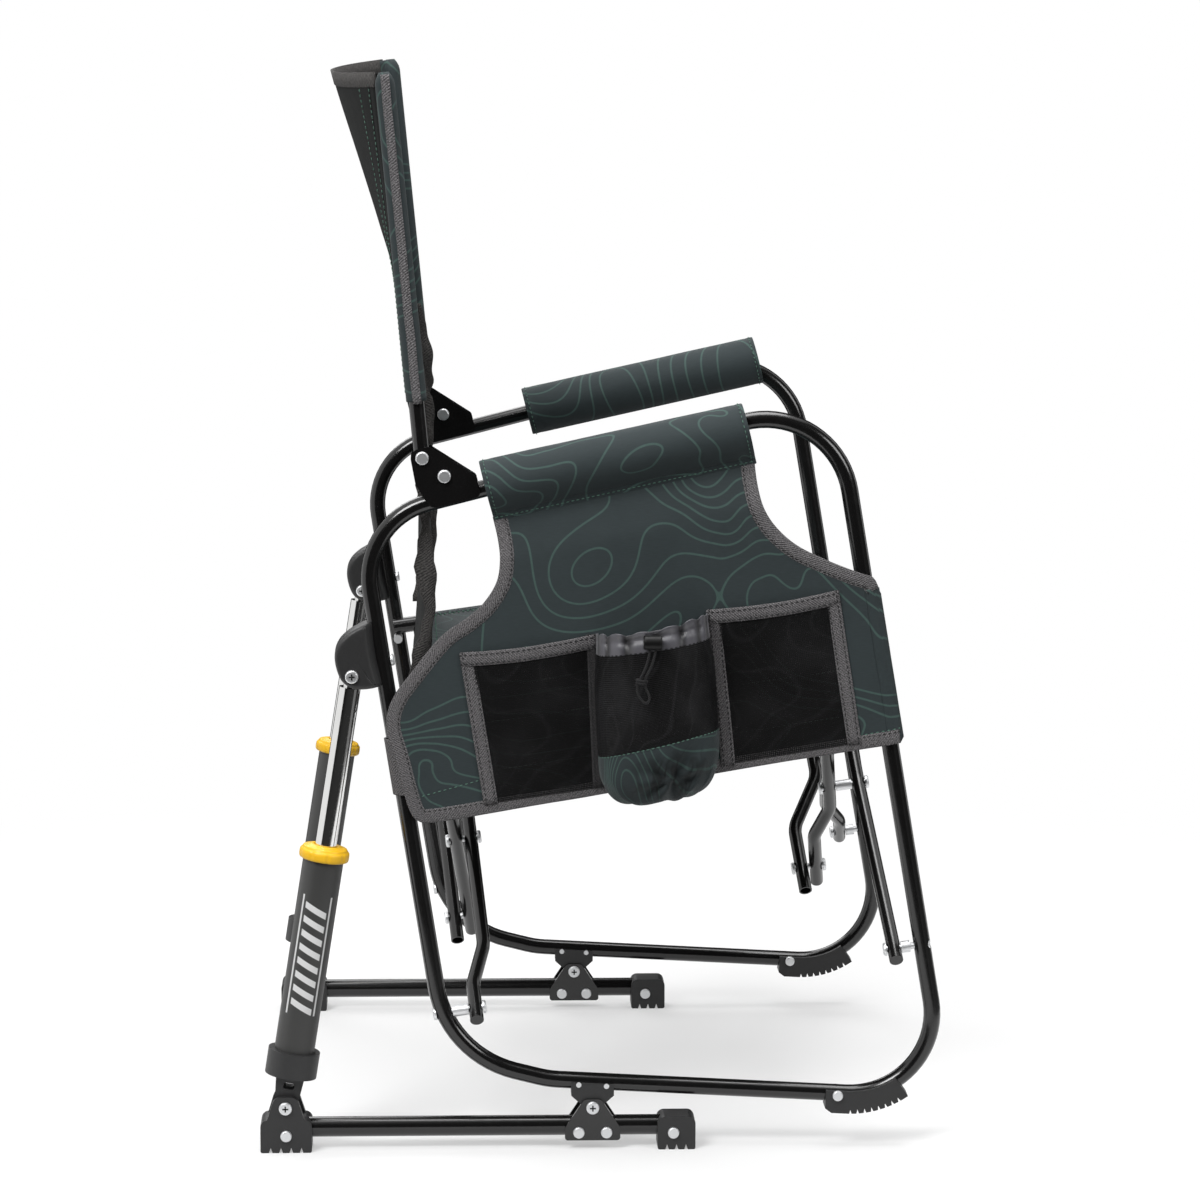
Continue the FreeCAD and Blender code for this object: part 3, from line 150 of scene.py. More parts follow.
def leg_x(corners, z):
    low, high = corners
    return low[0] + (z - low[1]) / (high[1] - low[1]) * (high[0] - low[0])


def rear_leg(z):
    return leg_x(REAR_CORNERS, z)


def front_leg(z):
    return leg_x(FRONT_CORNERS, z)


def ease(low, high, x):
    """0 below low, 1 above high, smooth between."""
    t = min(1.0, max(0.0, (x - low) / (high - low)))
    return t * t * (3 - 2 * t)


def ripple(a, b, scale, seed=0.0):
    """Smooth noise of about one wave per scale."""
    return noise.noise(Vector((a / scale, b / scale, seed)))


def running(lengths):
    """Running total of lengths, from 0."""
    return [0.0, *accumulate(lengths)]


def around(section):
    """Distance of each corner of a closed section from the first, and back to it."""
    pairs = zip(section, section[1:] + section[:1])
    return running(math.hypot(a[0] - b[0], a[1] - b[1]) for a, b in pairs)


def hand(side):
    return "right" if side < 0 else "left"


def flow(points, step=4.0, closed=False):
    """Smooth line through points (Catmull-Rom), sampled about every step."""
    n = len(points)
    out = []
    for i in range(n if closed else n - 1):
        if closed:
            a, b, c, d = (points[(i + k) % n] for k in (-1, 0, 1, 2))
        else:
            a, b, c, d = (points[min(n - 1, max(0, i + k))] for k in (-1, 0, 1, 2))
        count = max(1, round((c - b).length / step))
        for k in range(count):
            t = k / count
            out.append(0.5 * (2 * b + (c - a) * t + (2 * a - 5 * b + 4 * c - d) * t * t
                              + (3 * b - a - 3 * c + d) * t ** 3))
    if not closed:
        out.append(points[-1].copy())
    return out


# Sizes and colours that a user would change
def measure(name, description, default):
    return FloatProperty(name=name, description=description, default=default, unit="LENGTH")


class ChairSizes(bpy.types.PropertyGroup):
    """Sizes of the sewn work."""
    cloth: FloatProperty(name="Cloth", description="Thickness of the cloth, mm", default=1.2, min=0.4)
    tape: FloatProperty(name="Binding width", description="Width of the binding tape, mm", default=12.5)
    tape_rise: FloatProperty(name="Binding rise", description="Half thickness of a bound edge, mm",
                             default=1.15)
    stitch: measure("Stitch", "Length of one stitch", 0.0032)
    gap: measure("Stitch gap", "Gap between stitches", 0.0016)
    thread: measure("Thread", "Half thickness of the thread", 0.00052)
    cord: measure("Cord", "Thickness of the draw cord", 0.0024)
    drive: measure("Screw drive", "Length of a screw's cross slot", 0.0056)


def tint(name, rgb):
    return FloatVectorProperty(name=name, description=name + " colour", default=rgb, size=3, min=0,
                               max=1, subtype="COLOR")


class ChairColours(bpy.types.PropertyGroup):
    """Linear base colours of the finishes."""
    cloth: tint("Printed cloth", (0.0300, 0.0400, 0.0425))
    contour: tint("Contour lines", (0.062, 0.112, 0.098))
    binding: tint("Binding tape", (0.118, 0.113, 0.116))
    # Painted shade: a darker copy of the binding colour for a tape that lies in shade.
    binding_in_shade: tint("Shaded tape", (0.026, 0.025, 0.026))
    # Painted shade: a darker copy of the binding colour for the back's edge tapes, which lie in shade.
    edge_binding_in_shade: tint("Back's edge tape", (0.047, 0.044, 0.042))
    # Partly painted shade: the slings' dark lining, made darker still to stand for the shade on their
    # backs.
    lining_and_shade: tint("Lining", (0.0046, 0.0054, 0.0052))
    net: tint("Net", (0.0052, 0.0052, 0.0055))
    satin: tint("Gathered band", (0.062, 0.061, 0.070))
    green_thread: tint("Green thread", (0.075, 0.155, 0.118))
    grey_thread: tint("Grey thread", (0.007, 0.007, 0.0075))
    paint: tint("Painted steel", (0.0062, 0.006, 0.006))
    plastic: tint("Moulded plastic", (0.024, 0.024, 0.0245))
    barrel: tint("Barrel plastic", (0.046, 0.046, 0.045))
    amber: tint("Amber plastic", (1.0, 0.57, 0.014))
    chrome: tint("Chrome", (0.78, 0.78, 0.77))
    zinc: tint("Zinc", (0.80, 0.81, 0.82))
    floor: tint("Floor", (0.86, 0.86, 0.86))


# Materials: a socket that takes Python operators, and trees that add nodes
def with_one(operation):
    return lambda self: self.math(operation, self)


def with_two(operation, swapped=False):
    if swapped:
        return lambda self, other: self.math(operation, other, self)
    return lambda self, other: self.math(operation, self, other)


class Value:
    """A node's output; each operator on it adds a Math node."""

    def __init__(self, nodes, socket):
        self.nodes = nodes
        self.socket = socket

    def math(self, operation, *values):
        return self.nodes.node("Math", {"operation": operation}, dict(enumerate(values)))

    __add__, __radd__ = with_two("ADD"), with_two("ADD", True)
    __sub__, __rsub__ = with_two("SUBTRACT"), with_two("SUBTRACT", True)
    __mul__, __rmul__ = with_two("MULTIPLY"), with_two("MULTIPLY", True)
    __truediv__ = with_two("DIVIDE")
    __pow__ = with_two("POWER")
    __abs__ = with_one("ABSOLUTE")
    at_least = with_two("MAXIMUM")
    fraction = with_one("FRACT")
    wave = with_one("SINE")

    def ease(self, low, high, dim=0.0, bright=1.0):
        """From dim at low to bright at high, smooth between."""
        settings = {"interpolation_type": "SMOOTHSTEP"}
        return self.nodes.node("MapRange", settings, {0: self, 1: low, 2: high, 3: dim, 4: bright})


class Nodes:
    """A shader tree that nodes are added to."""

    def __init__(self, tree):
        self.tree = tree

    def feed(self, socket, value):
        if isinstance(value, Value):
            self.tree.links.new(value.socket, socket)
        else:
            socket.default_value = value

    def node(self, kind, settings=None, inputs=None, out=0):
        """Adds a node: its settings first, then the values or links of its sockets."""
        n = self.tree.nodes.new("ShaderNode" + kind)
        for key, value in (settings or {}).items():
            setattr(n, key, value)
        for key, value in (inputs or {}).items():
            self.feed(n.inputs[key], value)
        return Value(self, n.outputs[out])

    def axes(self, vector):
        split = self.node("SeparateXYZ", None, {0: vector})
        n = split.socket.node
        return [Value(self, n.outputs[i]) for i in range(3)]

    def direct(self):
        """1 for the rays that show the background: to the camera, in gloss and through clear things."""
        path = self.tree.nodes.new("ShaderNodeLightPath")
        rays = ("Is Camera Ray", "Is Glossy Ray", "Is Transmission Ray")
        camera, gloss, through = (Value(self, path.outputs[ray]) for ray in rays)
        return camera.at_least(gloss).at_least(through)


class Finish(Nodes):
    """One procedural material."""

    def __init__(self, name):
        self.material = bpy.data.materials.new(name)
        self.material.use_nodes = True
        super().__init__(self.material.node_tree)
        self.shader = self.tree.nodes["Principled BSDF"]

    def here(self):
        """Object coordinates."""
        return self.node("TexCoord", out=3)

    def cut(self):
        """The piece's own map, in metres of flat cloth."""
        return self.node("UVMap", {"uv_map": "Cut"})

    def grain(self, vector, scale, detail=2.0, rough=0.5, flat=False):
        settings = {"noise_dimensions": "2D" if flat else "3D"}
        return self.node("TexNoise", settings, {"Vector": vector, "Scale": scale, "Detail": detail,
                                                "Roughness": rough})

    def mix(self, factor, a, b):
        colours = [v if isinstance(v, Value) else (*v[:3], 1.0) for v in (a, b)]
        return self.node("Mix", {"data_type": "RGBA"}, {0: factor, 6: colours[0], 7: colours[1]}, out=2)

    def bump(self, height, distance, strength=1.0):
        return self.node("Bump", None, {"Height": height, "Distance": distance, "Strength": strength})

    def surface(self, **inputs):
        for key, value in inputs.items():
            name = key.replace("_", " ").title().replace("Ior", "IOR")
            if isinstance(value, (tuple, list)):
                value = (*value[:3], 1.0)
            self.feed(self.shader.inputs[name], value)
        return self.material


FINISHES = {}


def shade(colour, k):
    """A colour k times as bright."""
    return tuple(min(1.0, c * k) for c in colour)


def painted_steel(c):
    """Gloss black powder paint with a faint orange peel."""
    f = Finish("painted_steel")
    p = f.here()
    peel = f.grain(p, 420.0, 1.0)
    cloud = f.grain(p, 11.0, 3.0)
    dust = f.grain(p, 70.0, 4.0, 0.6).ease(0.52, 0.78)
    colour = f.mix(dust * 0.25, c.paint, shade(c.paint, 1.9))
    return f.surface(base_color=colour, roughness=0.15 + cloud * 0.1 + dust * 0.05,
                     coat_weight=0.3, coat_roughness=0.07, normal=f.bump(peel, 0.00006, 0.4))


def plastic(name, colour, rough, speck, grainy, gloss=0.5):
    """Moulded plastic: matt, finely grained, a little paler where it is rubbed."""
    f = Finish(name)
    p = f.here()
    fine = f.grain(p, grainy, 2.0)
    cloud = f.grain(p, 16.0, 3.0)
    rubbed = f.grain(p, 90.0, 4.0, 0.65).ease(0.55, 0.8)
    tone = f.mix(rubbed * speck, shade(colour, 0.92), shade(colour, 1.5))
    return f.surface(base_color=f.mix(cloud * 0.3, tone, shade(colour, 1.12)),
                     roughness=rough + fine * 0.12, specular_ior_level=gloss,
                     normal=f.bump(fine, 0.00015, 0.6))


def barrel_plastic(c):
    """Piston barrel: satin grey plastic with a plain ladder of slanted white bars on its outer side."""
    f = Finish("barrel_plastic")
    p = f.here()
    x, y, z = f.axes(p)
    foot = place(PISTON_FOOT[0], SIDE, PISTON_FOOT[1])
    lean_x, lean_z = PISTON_LEAN
    along = (x - foot.x) * lean_x + (z - foot.z) * lean_z
    across = (x - foot.x) * lean_z - (z - foot.z) * lean_x
    outer = abs(y - ORIGIN.y) - abs(SIDE) * MM
    inside = outer.ease(0.0, 0.002) * (1.0 - abs(across).ease(0.0098, 0.0104))
    slant = along + across * 0.45
    span = slant.ease(0.0930, 0.0935) * (1.0 - slant.ease(0.1990, 0.1995))
    step = (slant / 0.0132).fraction()
    bar = step.ease(0.20, 0.24) * (1.0 - step.ease(0.66, 0.70))
    rule = abs(abs(across) - 0.0128).ease(0.0009, 0.0005)
    rule = rule * outer.ease(0.0, 0.002) * along.ease(0.0900, 0.0905)
    rule = rule * (1.0 - along.ease(0.2040, 0.2045))
    ink = (bar * inside * span).at_least(rule)
    fine = f.grain(p, 480.0, 2.0)
    cloud = f.grain(p, 16.0, 3.0)
    worn = f.grain(p, 260.0, 3.0, 0.6).ease(0.66, 0.78)
    tone = f.mix(cloud * 0.5, shade(c.barrel, 0.9), shade(c.barrel, 1.15))
    colour = f.mix(ink * (1.0 - worn * 0.5), tone, (0.78, 0.78, 0.78))
    return f.surface(base_color=colour, roughness=0.40 + fine * 0.12 - ink * 0.05,
                     normal=f.bump(fine, 0.00012, 0.5))


def amber_plastic(c):
    """Satin amber plastic of the gland rings."""
    f = Finish("amber_plastic")
    p = f.here()
    fine = f.grain(p, 600.0, 2.0)
    cloud = f.grain(p, 22.0, 3.0)
    colour = f.mix(cloud * 0.35, c.amber, shade(c.amber, 0.86))
    return f.surface(base_color=colour, roughness=0.34 + fine * 0.12, normal=f.bump(fine, 0.0001, 0.4))


def bright_metal(name, colour, rough, streak):
    """Plated metal: fine drawing lines round the axis and a slight cloud."""
    f = Finish(name)
    p = f.here()
    _, _, z = f.axes(p)
    lines = f.node("TexNoise", {"noise_dimensions": "1D"},
                   {"W": z * streak, "Scale": 1.0, "Detail": 3.0})
    cloud = f.grain(p, 40.0, 3.0)
    tone = f.mix(cloud * 0.4, colour, shade(colour, 0.82))
    return f.surface(base_color=tone, metallic=1.0,
                     roughness=rough + lines * rough * 0.6 + cloud * 0.05,
                     normal=f.bump(lines, 0.00003, 0.3))


def weave(f, uv, pitch):
    """Height of a plain weave, threads over and under."""
    u, v, _ = f.axes(uv)
    a = (u * (math.pi / pitch)).wave()
    b = (v * (math.pi / pitch)).wave()
    return abs(a) * 0.5 + abs(b) * 0.5


def holder_along(u):
    """Distance round the drink holder's front, in mm, of a place on its cut."""
    stretch = HOLDER_RUN / HOLDER_FRONT * HOLDER_COLS / (HOLDER_GIRTH * MM)
    return (u - HOLDER_CUT * MM) * stretch - HOLDER_SKIP


def printed_cloth(c, name="printed_cloth", painted_fold_shade=False):
    """Dark ripstop with thin paler contour lines of even width.

    The third argument paints shade into the gathers of the drink holder's foot: the cloth there is
    darkened round the crumple's middle and along its creases.
    """
    f = Finish(name)
    uv = f.cut()
    step = 0.0015

    def level(du, dv):
        moved = f.node("VectorMath", {"operation": "ADD"}, {0: uv, 1: (du, dv, 0.0)})
        land = f.node("TexNoise", {"noise_dimensions": "2D"},
                      {"Vector": moved, "Scale": 5.2, "Detail": 1.4, "Roughness": 0.36,
                       "Distortion": 0.5})
        return land * 20.0

    h = level(0.0, 0.0)
    gx = level(step, 0.0) - h
    gy = level(0.0, step) - h
    slope = ((gx * gx + gy * gy) ** 0.5 / step).at_least(14.0)
    off = abs((h + 0.5).fraction() - 0.5) / slope
    line = 1.0 - off.ease(0.0006, 0.0013)
    worn = f.grain(uv, 240.0, 3.0, 0.6, True)
    line = line * (0.62 + worn * 0.38)
    threads = weave(f, uv, 0.0009)
    drawn = f.node("VectorMath", {"operation": "MULTIPLY"}, {0: uv, 1: (1.0, 9.0, 1.0)})
    slub = f.grain(drawn, 130.0, 2.0, 0.5, True)
    cloud = f.grain(uv, 14.0, 3.0, 0.5, True)
    ground = f.mix(slub, shade(c.cloth, 0.78), shade(c.cloth, 1.22))
    ground = f.mix(cloud * 0.5, ground, shade(c.cloth, 1.1))
    colour = f.mix(line * 0.85, ground, c.contour)
    # Painted shade: the drink holder's foot is darkened round the crumple's middle and along its
    # creases.
    if painted_fold_shade:
        u, v, _ = f.axes(uv)
        away = (holder_along(u) - 0.55 * HOLDER_RUN) / 34.0
        rise = (3.00 - v / 0.165) * (155.0 / 22.0)
        near = 1.0 - ((away * away + rise * rise) ** 0.5).ease(0.2, 1.4)
        fold_shade_groove = 1.0 - abs(f.grain(uv, 38.0, 2.0, 0.5, True) - 0.5).ease(0.0, 0.09)
        colour = f.mix(near * (0.42 + fold_shade_groove * 0.5), colour, shade(c.cloth, 0.12))
    crease = f.grain(uv, 26.0, 3.0, 0.5, True)
    height = threads * 0.35 + crease * 2.2
    return f.surface(base_color=colour, roughness=0.66 + slub * 0.16, specular_ior_level=0.22,
                     sheen_weight=0.08, sheen_roughness=0.5, normal=f.bump(height, 0.0005, 0.7))


def lining_and_shade(c):
    """Plain black cloth on the backs of the slings, made darker still as painted shade."""
    f = Finish("lining_and_shade_cloth")
    uv = f.cut()
    threads = weave(f, uv, 0.0011)
    cloud = f.grain(uv, 18.0, 3.0, 0.5, True)
    tone = f.mix(cloud, shade(c.lining_and_shade, 0.7), shade(c.lining_and_shade, 1.4))
    return f.surface(base_color=tone, roughness=0.72 + cloud * 0.15, specular_ior_level=0.2,
                     normal=f.bump(threads * 0.3 + cloud * 2.0, 0.0005, 0.6))


def twill(name, colour):
    """Woven tape with slanting ribs."""
    f = Finish(name)
    u, v, _ = f.axes(f.cut())
    rib = abs(((u + v) * (math.pi / 0.0027)).wave())
    fleck = f.grain(f.cut(), 820.0, 2.0, 0.6, True)
    edge = f.grain(f.cut(), 60.0, 3.0, 0.6, True)
    tone = f.mix(rib, shade(colour, 0.40), shade(colour, 1.15))
    tone = f.mix(fleck.ease(0.5, 0.62) * 0.7, tone, shade(colour, 1.9))
    tone = f.mix(fleck.ease(0.46, 0.34) * 0.6, tone, shade(colour, 0.25))
    return f.surface(base_color=tone, roughness=0.78 + edge * 0.14,
                     normal=f.bump(rib + fleck * 0.6, 0.0006, 0.9))


def net_cloth(name, colour, open_share):
    """Fine black net: round meshes that let what is behind show through."""
    f = Finish(name)
    uv = f.cut()
    u, v, _ = f.axes(uv)
    pitch = 0.0017
    a = (u / pitch).fraction() - 0.5
    b = (v / pitch).fraction() - 0.5
    hole = 1.0 - ((a * a + b * b) ** 0.5).ease(open_share, open_share + 0.14)
    sheen = f.grain(uv, 9.0, 4.0, 0.55, True)
    cord = f.grain(uv, 700.0, 2.0, 0.5, True)
    land = f.grain(uv, 7.0, 1.5, 0.4, True) * 9.0
    line = 1.0 - abs(land.fraction() - 0.5).ease(0.03, 0.10)
    tone = f.mix(sheen.ease(0.4, 0.75), shade(colour, 0.8), shade(colour, 2.4))
    tone = f.mix(line * 0.3, tone, shade(colour, 3.6))
    return f.surface(base_color=tone, roughness=0.5 + cord * 0.25, specular_ior_level=0.18,
                     alpha=1.0 - hole * 0.72, normal=f.bump(cord - hole, 0.0004, 0.5))


def satin_band(c):
    """Gathered satin with painted light: a painted highlight on its puffs and painted shade in the
    creases between them.
    """
    f = Finish("satin_band")
    uv = f.cut()
    u, _, _ = f.axes(uv)
    ribs = abs((u * (math.pi / 0.0011)).wave())
    cloud = f.grain(uv, 50.0, 3.0, 0.5, True)
    along = holder_along(u)
    # Painted light: the fold pattern here gives the puffs a painted highlight and the creases painted
    # shade, with a little random cloud.
    puff = abs((along / 5.2 + (along / 19.0).wave() * 0.9).wave())
    puff_highlight_crease_shade = puff.ease(0.15, 0.95) * 0.75 + cloud * 0.25
    tone = f.mix(puff_highlight_crease_shade, shade(c.satin, 0.10), shade(c.satin, 1.75))
    return f.surface(base_color=tone, roughness=0.30 + cloud * 0.16, specular_ior_level=0.75,
                     sheen_weight=0.15, normal=f.bump(ribs, 0.0002, 0.4))


def thread(name, colour):
    """Twisted sewing thread."""
    f = Finish(name)
    p = f.here()
    twist = f.grain(p, 1500.0, 1.0)
    return f.surface(base_color=f.mix(twist, shade(colour, 0.7), shade(colour, 1.3)),
                     roughness=0.55 + twist * 0.2)


def braid():
    """Round braided cord."""
    f = Finish("cord_braid")
    x, _, z = f.axes(f.here())
    turn = math.pi / 0.0021
    strands = abs(((x + z) * turn).wave()) * abs(((x - z) * turn).wave())
    tone = f.mix(strands, (0.012, 0.012, 0.012), (0.040, 0.040, 0.042))
    return f.surface(base_color=tone, roughness=0.6 + strands * 0.2, specular_ior_level=0.2,
                     normal=f.bump(strands, 0.0004, 0.7))


def recess():
    """Painted shade at the bottom of a screw's drive: dull dark metal."""
    f = Finish("screw_recess")
    slot_shade_mottle = f.grain(f.here(), 900.0, 2.0)
    return f.surface(base_color=f.mix(slot_shade_mottle, (0.02, 0.02, 0.02), (0.07, 0.07, 0.07)), metallic=1.0,
                     roughness=0.5 + slot_shade_mottle * 0.2)


# Mesh makers
def new_piece(name, mesh, finishes):
    """A smooth-shaded object in the scene with its finishes."""
    piece = bpy.data.objects.new(name, mesh)
    bpy.context.scene.collection.objects.link(piece)
    for finish in finishes:
        mesh.materials.append(FINISHES[finish])
    mesh.polygons.foreach_set("use_smooth", [True] * len(mesh.polygons))
    return piece


def lattice(name, rows, cut, finishes, wrap=False, ring=False, caps=False, zone=None, skip=None):
    """Quads over rows of drawing points; cut gives each point's place on the flat cloth, in mm."""
    cols = len(rows[0])
    points = [place(*p) for row in rows for p in row]
    faces, maps, zones = [], [], []
    for i in range(len(rows) if ring else len(rows) - 1):
        for j in range(cols if wrap else cols - 1):
            if skip and skip(i, j):
                continue
            k = (i + 1) % len(rows)
            m = (j + 1) % cols
            faces.append((i * cols + j, i * cols + m, k * cols + m, k * cols + j))
            maps.append((cut(i, j), cut(i, j + 1), cut(i + 1, j + 1), cut(i + 1, j)))
            zones.append(zone(i, j) if zone else 0)
    if caps:
        for i, order in ((0, range(cols - 1, -1, -1)), (len(rows) - 1, range(cols))):
            faces.append([i * cols + j for j in order])
            maps.append([cut(i, j) for j in order])
            zones.append(0)
    return sewn(name, points, faces, maps, finishes, zones)


def sewn(name, points, faces, maps, finishes, zones=None):
    """An object from points, faces and each face's corners on the cut, in mm."""
    mesh = bpy.data.meshes.new(name)
    mesh.from_pydata(points, [], faces)
    layer = mesh.uv_layers.new(name="Cut")
    flat = [c * MM for group in maps for uv in group for c in uv]
    layer.data.foreach_set("uv", flat)
    if zones:
        mesh.polygons.foreach_set("material_index", zones)
    mesh.validate()
    return new_piece(name, mesh, finishes)


def outward(piece):
    """Turns a closed mesh's faces outwards."""
    b = bmesh.new()
    b.from_mesh(piece.data)
    bmesh.ops.recalc_face_normals(b, faces=b.faces)
    b.to_mesh(piece.data)
    b.free()


def strand(name, rows, cut, finish):
    """A closed strip of rows round a line, capped at both ends."""
    piece = lattice(name, rows, cut, [finish], wrap=True, caps=True)
    outward(piece)
    return piece


def soften(piece, levels=1, thickness=0.0, reverse=0):
    """Smooths a sheet and gives it thickness; reverse steps to the finish of its other side."""
    if levels:
        s = piece.modifiers.new("Smooth", "SUBSURF")
        s.levels = levels
        s.render_levels = levels
    if thickness:
        t = piece.modifiers.new("Thickness", "SOLIDIFY")
        t.thickness = thickness * MM
        t.offset = 0.0
        t.material_offset = reverse


def ribbon(name, spine, inward, seat, finish, size, width=None, rise=None):
    """Binding folded over an edge.

    spine is the edge, inward points over the cloth and seat gives the height.
    """
    w = width or size.tape
    r = rise or size.tape_rise
    section = [(w, 0.5 * r), (w - 0.5, r), (w * 0.5, r), (0.7, r), (-0.5, 0.6 * r), (-0.7, 0.0),
               (-0.5, -0.6 * r), (0.7, -r), (w * 0.5, -r), (w - 0.5, -r), (w, -0.5 * r)]
    rows = [[seat(p + n * a, b) for a, b in section] for p, n in zip(spine, inward)]
    run = running((q - p).length for p, q in zip(spine, spine[1:]))
    width_at = around(section)
    return strand(name, rows, lambda i, j: (run[i], width_at[j]), finish)


def side_of(line, turn=1.0):
    """Unit normals of a flat line, to its left for turn 1."""
    out = []
    for i in range(len(line)):
        d = line[min(i + 1, len(line) - 1)] - line[max(i - 1, 0)]
        d.normalize()
        out.append(Vector((-d.y, d.x)) * turn)
    return out


# Geometry Nodes: stitches along a line, cross slots on screw heads
def node_group(name, inputs):
    """A geometry tree with one geometry input, the given inputs and one geometry output."""
    tree = bpy.data.node_groups.new(name, "GeometryNodeTree")
    tree.interface.new_socket("Geometry", in_out="INPUT", socket_type="NodeSocketGeometry")
    for label, kind, value in inputs:
        socket = tree.interface.new_socket(label, in_out="INPUT", socket_type="NodeSocket" + kind)
        if value is not None:
            socket.default_value = value
    tree.interface.new_socket("Geometry", in_out="OUTPUT", socket_type="NodeSocketGeometry")
    return tree


def add(tree, kind, settings=None, inputs=None):
    """Adds a node to a tree with its settings and the values or links of its sockets."""
    n = tree.nodes.new(kind)
    for key, value in (settings or {}).items():
        setattr(n, key, value)
    for key, value in (inputs or {}).items():
        if isinstance(value, bpy.types.NodeSocket):
            tree.links.new(value, n.inputs[key])
        else:
            n.inputs[key].default_value = value
    return n


def stitch_tree():
    """Lays one bead of thread on every stitch of a line."""
    tree = node_group("Stitch line", [("Stitch", "Float", 0.0026), ("Gap", "Float", 0.0014),
                                      ("Thread", "Float", 0.0004), ("Finish", "Material", None)])
    given = tree.nodes.new("NodeGroupInput").outputs
    curve = add(tree, "GeometryNodeMeshToCurve", None, {0: given["Geometry"]})
    pitch = add(tree, "ShaderNodeMath", {"operation": "ADD"}, {0: given["Stitch"], 1: given["Gap"]})
    spaced = add(tree, "GeometryNodeResampleCurve", {"mode": "LENGTH"},
                 {"Curve": curve.outputs[0], "Length": pitch.outputs[0]})
    tangent = tree.nodes.new("GeometryNodeInputTangent")
    turn = add(tree, "FunctionNodeAlignRotationToVector", {"axis": "X"},
               {"Vector": tangent.outputs[0]})
    half = add(tree, "ShaderNodeMath", {"operation": "MULTIPLY"}, {0: given["Stitch"], 1: 0.5})
    shape = add(tree, "ShaderNodeCombineXYZ", None,
                {0: half.outputs[0], 1: given["Thread"], 2: given["Thread"]})
    bead = add(tree, "GeometryNodeMeshUVSphere", None, {"Segments": 6, "Rings": 4, "Radius": 1.0})
    laid = add(tree, "GeometryNodeInstanceOnPoints", None,
               {"Points": spaced.outputs[0], "Instance": bead.outputs[0], "Rotation": turn.outputs[0],
                "Scale": shape.outputs[0]})
    real = add(tree, "GeometryNodeRealizeInstances", None, {0: laid.outputs[0]})
    smooth = add(tree, "GeometryNodeSetShadeSmooth", None, {0: real.outputs[0]})
    dyed = add(tree, "GeometryNodeSetMaterial", None,
               {0: smooth.outputs[0], "Material": given["Finish"]})
    out = tree.nodes.new("NodeGroupOutput")
    tree.links.new(dyed.outputs[0], out.inputs[0])
    return tree


def drive_tree():
    """Lays a cross of two slim bars on every point, turned to face its way."""
    tree = node_group("Screw drive", [("Length", "Float", 0.0056), ("Finish", "Material", None)])
    given = tree.nodes.new("NodeGroupInput").outputs
    facing = add(tree, "GeometryNodeInputNamedAttribute", {"data_type": "FLOAT_VECTOR"},
                 {"Name": "facing"})
    turn = add(tree, "FunctionNodeAlignRotationToVector", {"axis": "Z"},
               {"Vector": facing.outputs[0]})
    slim = add(tree, "ShaderNodeMath", {"operation": "MULTIPLY"}, {0: given["Length"], 1: 0.24})
    thin = add(tree, "ShaderNodeMath", {"operation": "MULTIPLY"}, {0: given["Length"], 1: 0.08})
    bars = []
    for a, b in (("Length", slim), (slim, "Length")):
        sizes = [given[k] if isinstance(k, str) else k.outputs[0] for k in (a, b)]
        size = add(tree, "ShaderNodeCombineXYZ", None,
                   {0: sizes[0], 1: sizes[1], 2: thin.outputs[0]})
        bars.append(add(tree, "GeometryNodeMeshCube", None, {"Size": size.outputs[0]}))
    cross = tree.nodes.new("GeometryNodeJoinGeometry")
    for bar in bars:
        tree.links.new(bar.outputs[0], cross.inputs[0])
    laid = add(tree, "GeometryNodeInstanceOnPoints", None,
               {"Instance": cross.outputs[0], "Rotation": turn.outputs[0], "Points": given["Geometry"]})
    real = add(tree, "GeometryNodeRealizeInstances", None, {0: laid.outputs[0]})
    dyed = add(tree, "GeometryNodeSetMaterial", None,
               {0: real.outputs[0], "Material": given["Finish"]})
    out = tree.nodes.new("NodeGroupOutput")
    tree.links.new(dyed.outputs[0], out.inputs[0])
    return tree


def grow(name, carrier, tree, values):
    """Runs a node tree on a carrier mesh and returns the result as a plain mesh object."""
    source = bpy.data.objects.new(name + ".source", carrier)
    bpy.context.scene.collection.objects.link(source)
    grown = source.modifiers.new("Grow", "NODES")
    grown.node_group = tree
    for item in tree.interface.items_tree:
        if item.in_out == "INPUT" and item.name in values:
            grown[item.identifier] = values[item.name]
    graph = bpy.context.evaluated_depsgraph_get()
    mesh = bpy.data.meshes.new_from_object(source.evaluated_get(graph))
    bpy.data.objects.remove(source)
    if not mesh.polygons:
        raise RuntimeError(name + " came out empty")
    piece = bpy.data.objects.new(name, mesh)
    bpy.context.scene.collection.objects.link(piece)
    return piece


def sew(name, lines, finish, size):
    """Stitches along drawing lines, as one piece."""
    points, edges = [], []
    for line in lines:
        start = len(points)
        points += [place(*p) for p in line]
        edges += [(i, i + 1) for i in range(start, len(points) - 1)]
    carrier = bpy.data.meshes.new(name)
    carrier.from_pydata(points, edges, [])
    tree = bpy.data.node_groups.get("Stitch line") or stitch_tree()
    return grow(name, carrier, tree, {"Stitch": size.stitch, "Gap": size.gap, "Thread": size.thread,
                                      "Finish": FINISHES[finish]})


def fold_with(piece, body):
    """Gives a cross-wise cloth a mesh of its own and parents it to the body's empty."""
    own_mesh(piece)
    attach(piece, body)


# Soft pieces
SLEEVE_LONG = 248.0
# Each sleeve: start along the arm, half height, and its middle's height over the arm at both ends
SLEEVES = {"right": (60.0, 29.0, -2.9, -11.5), "left": (111.5, 25.0, 1.2, -6.2)}


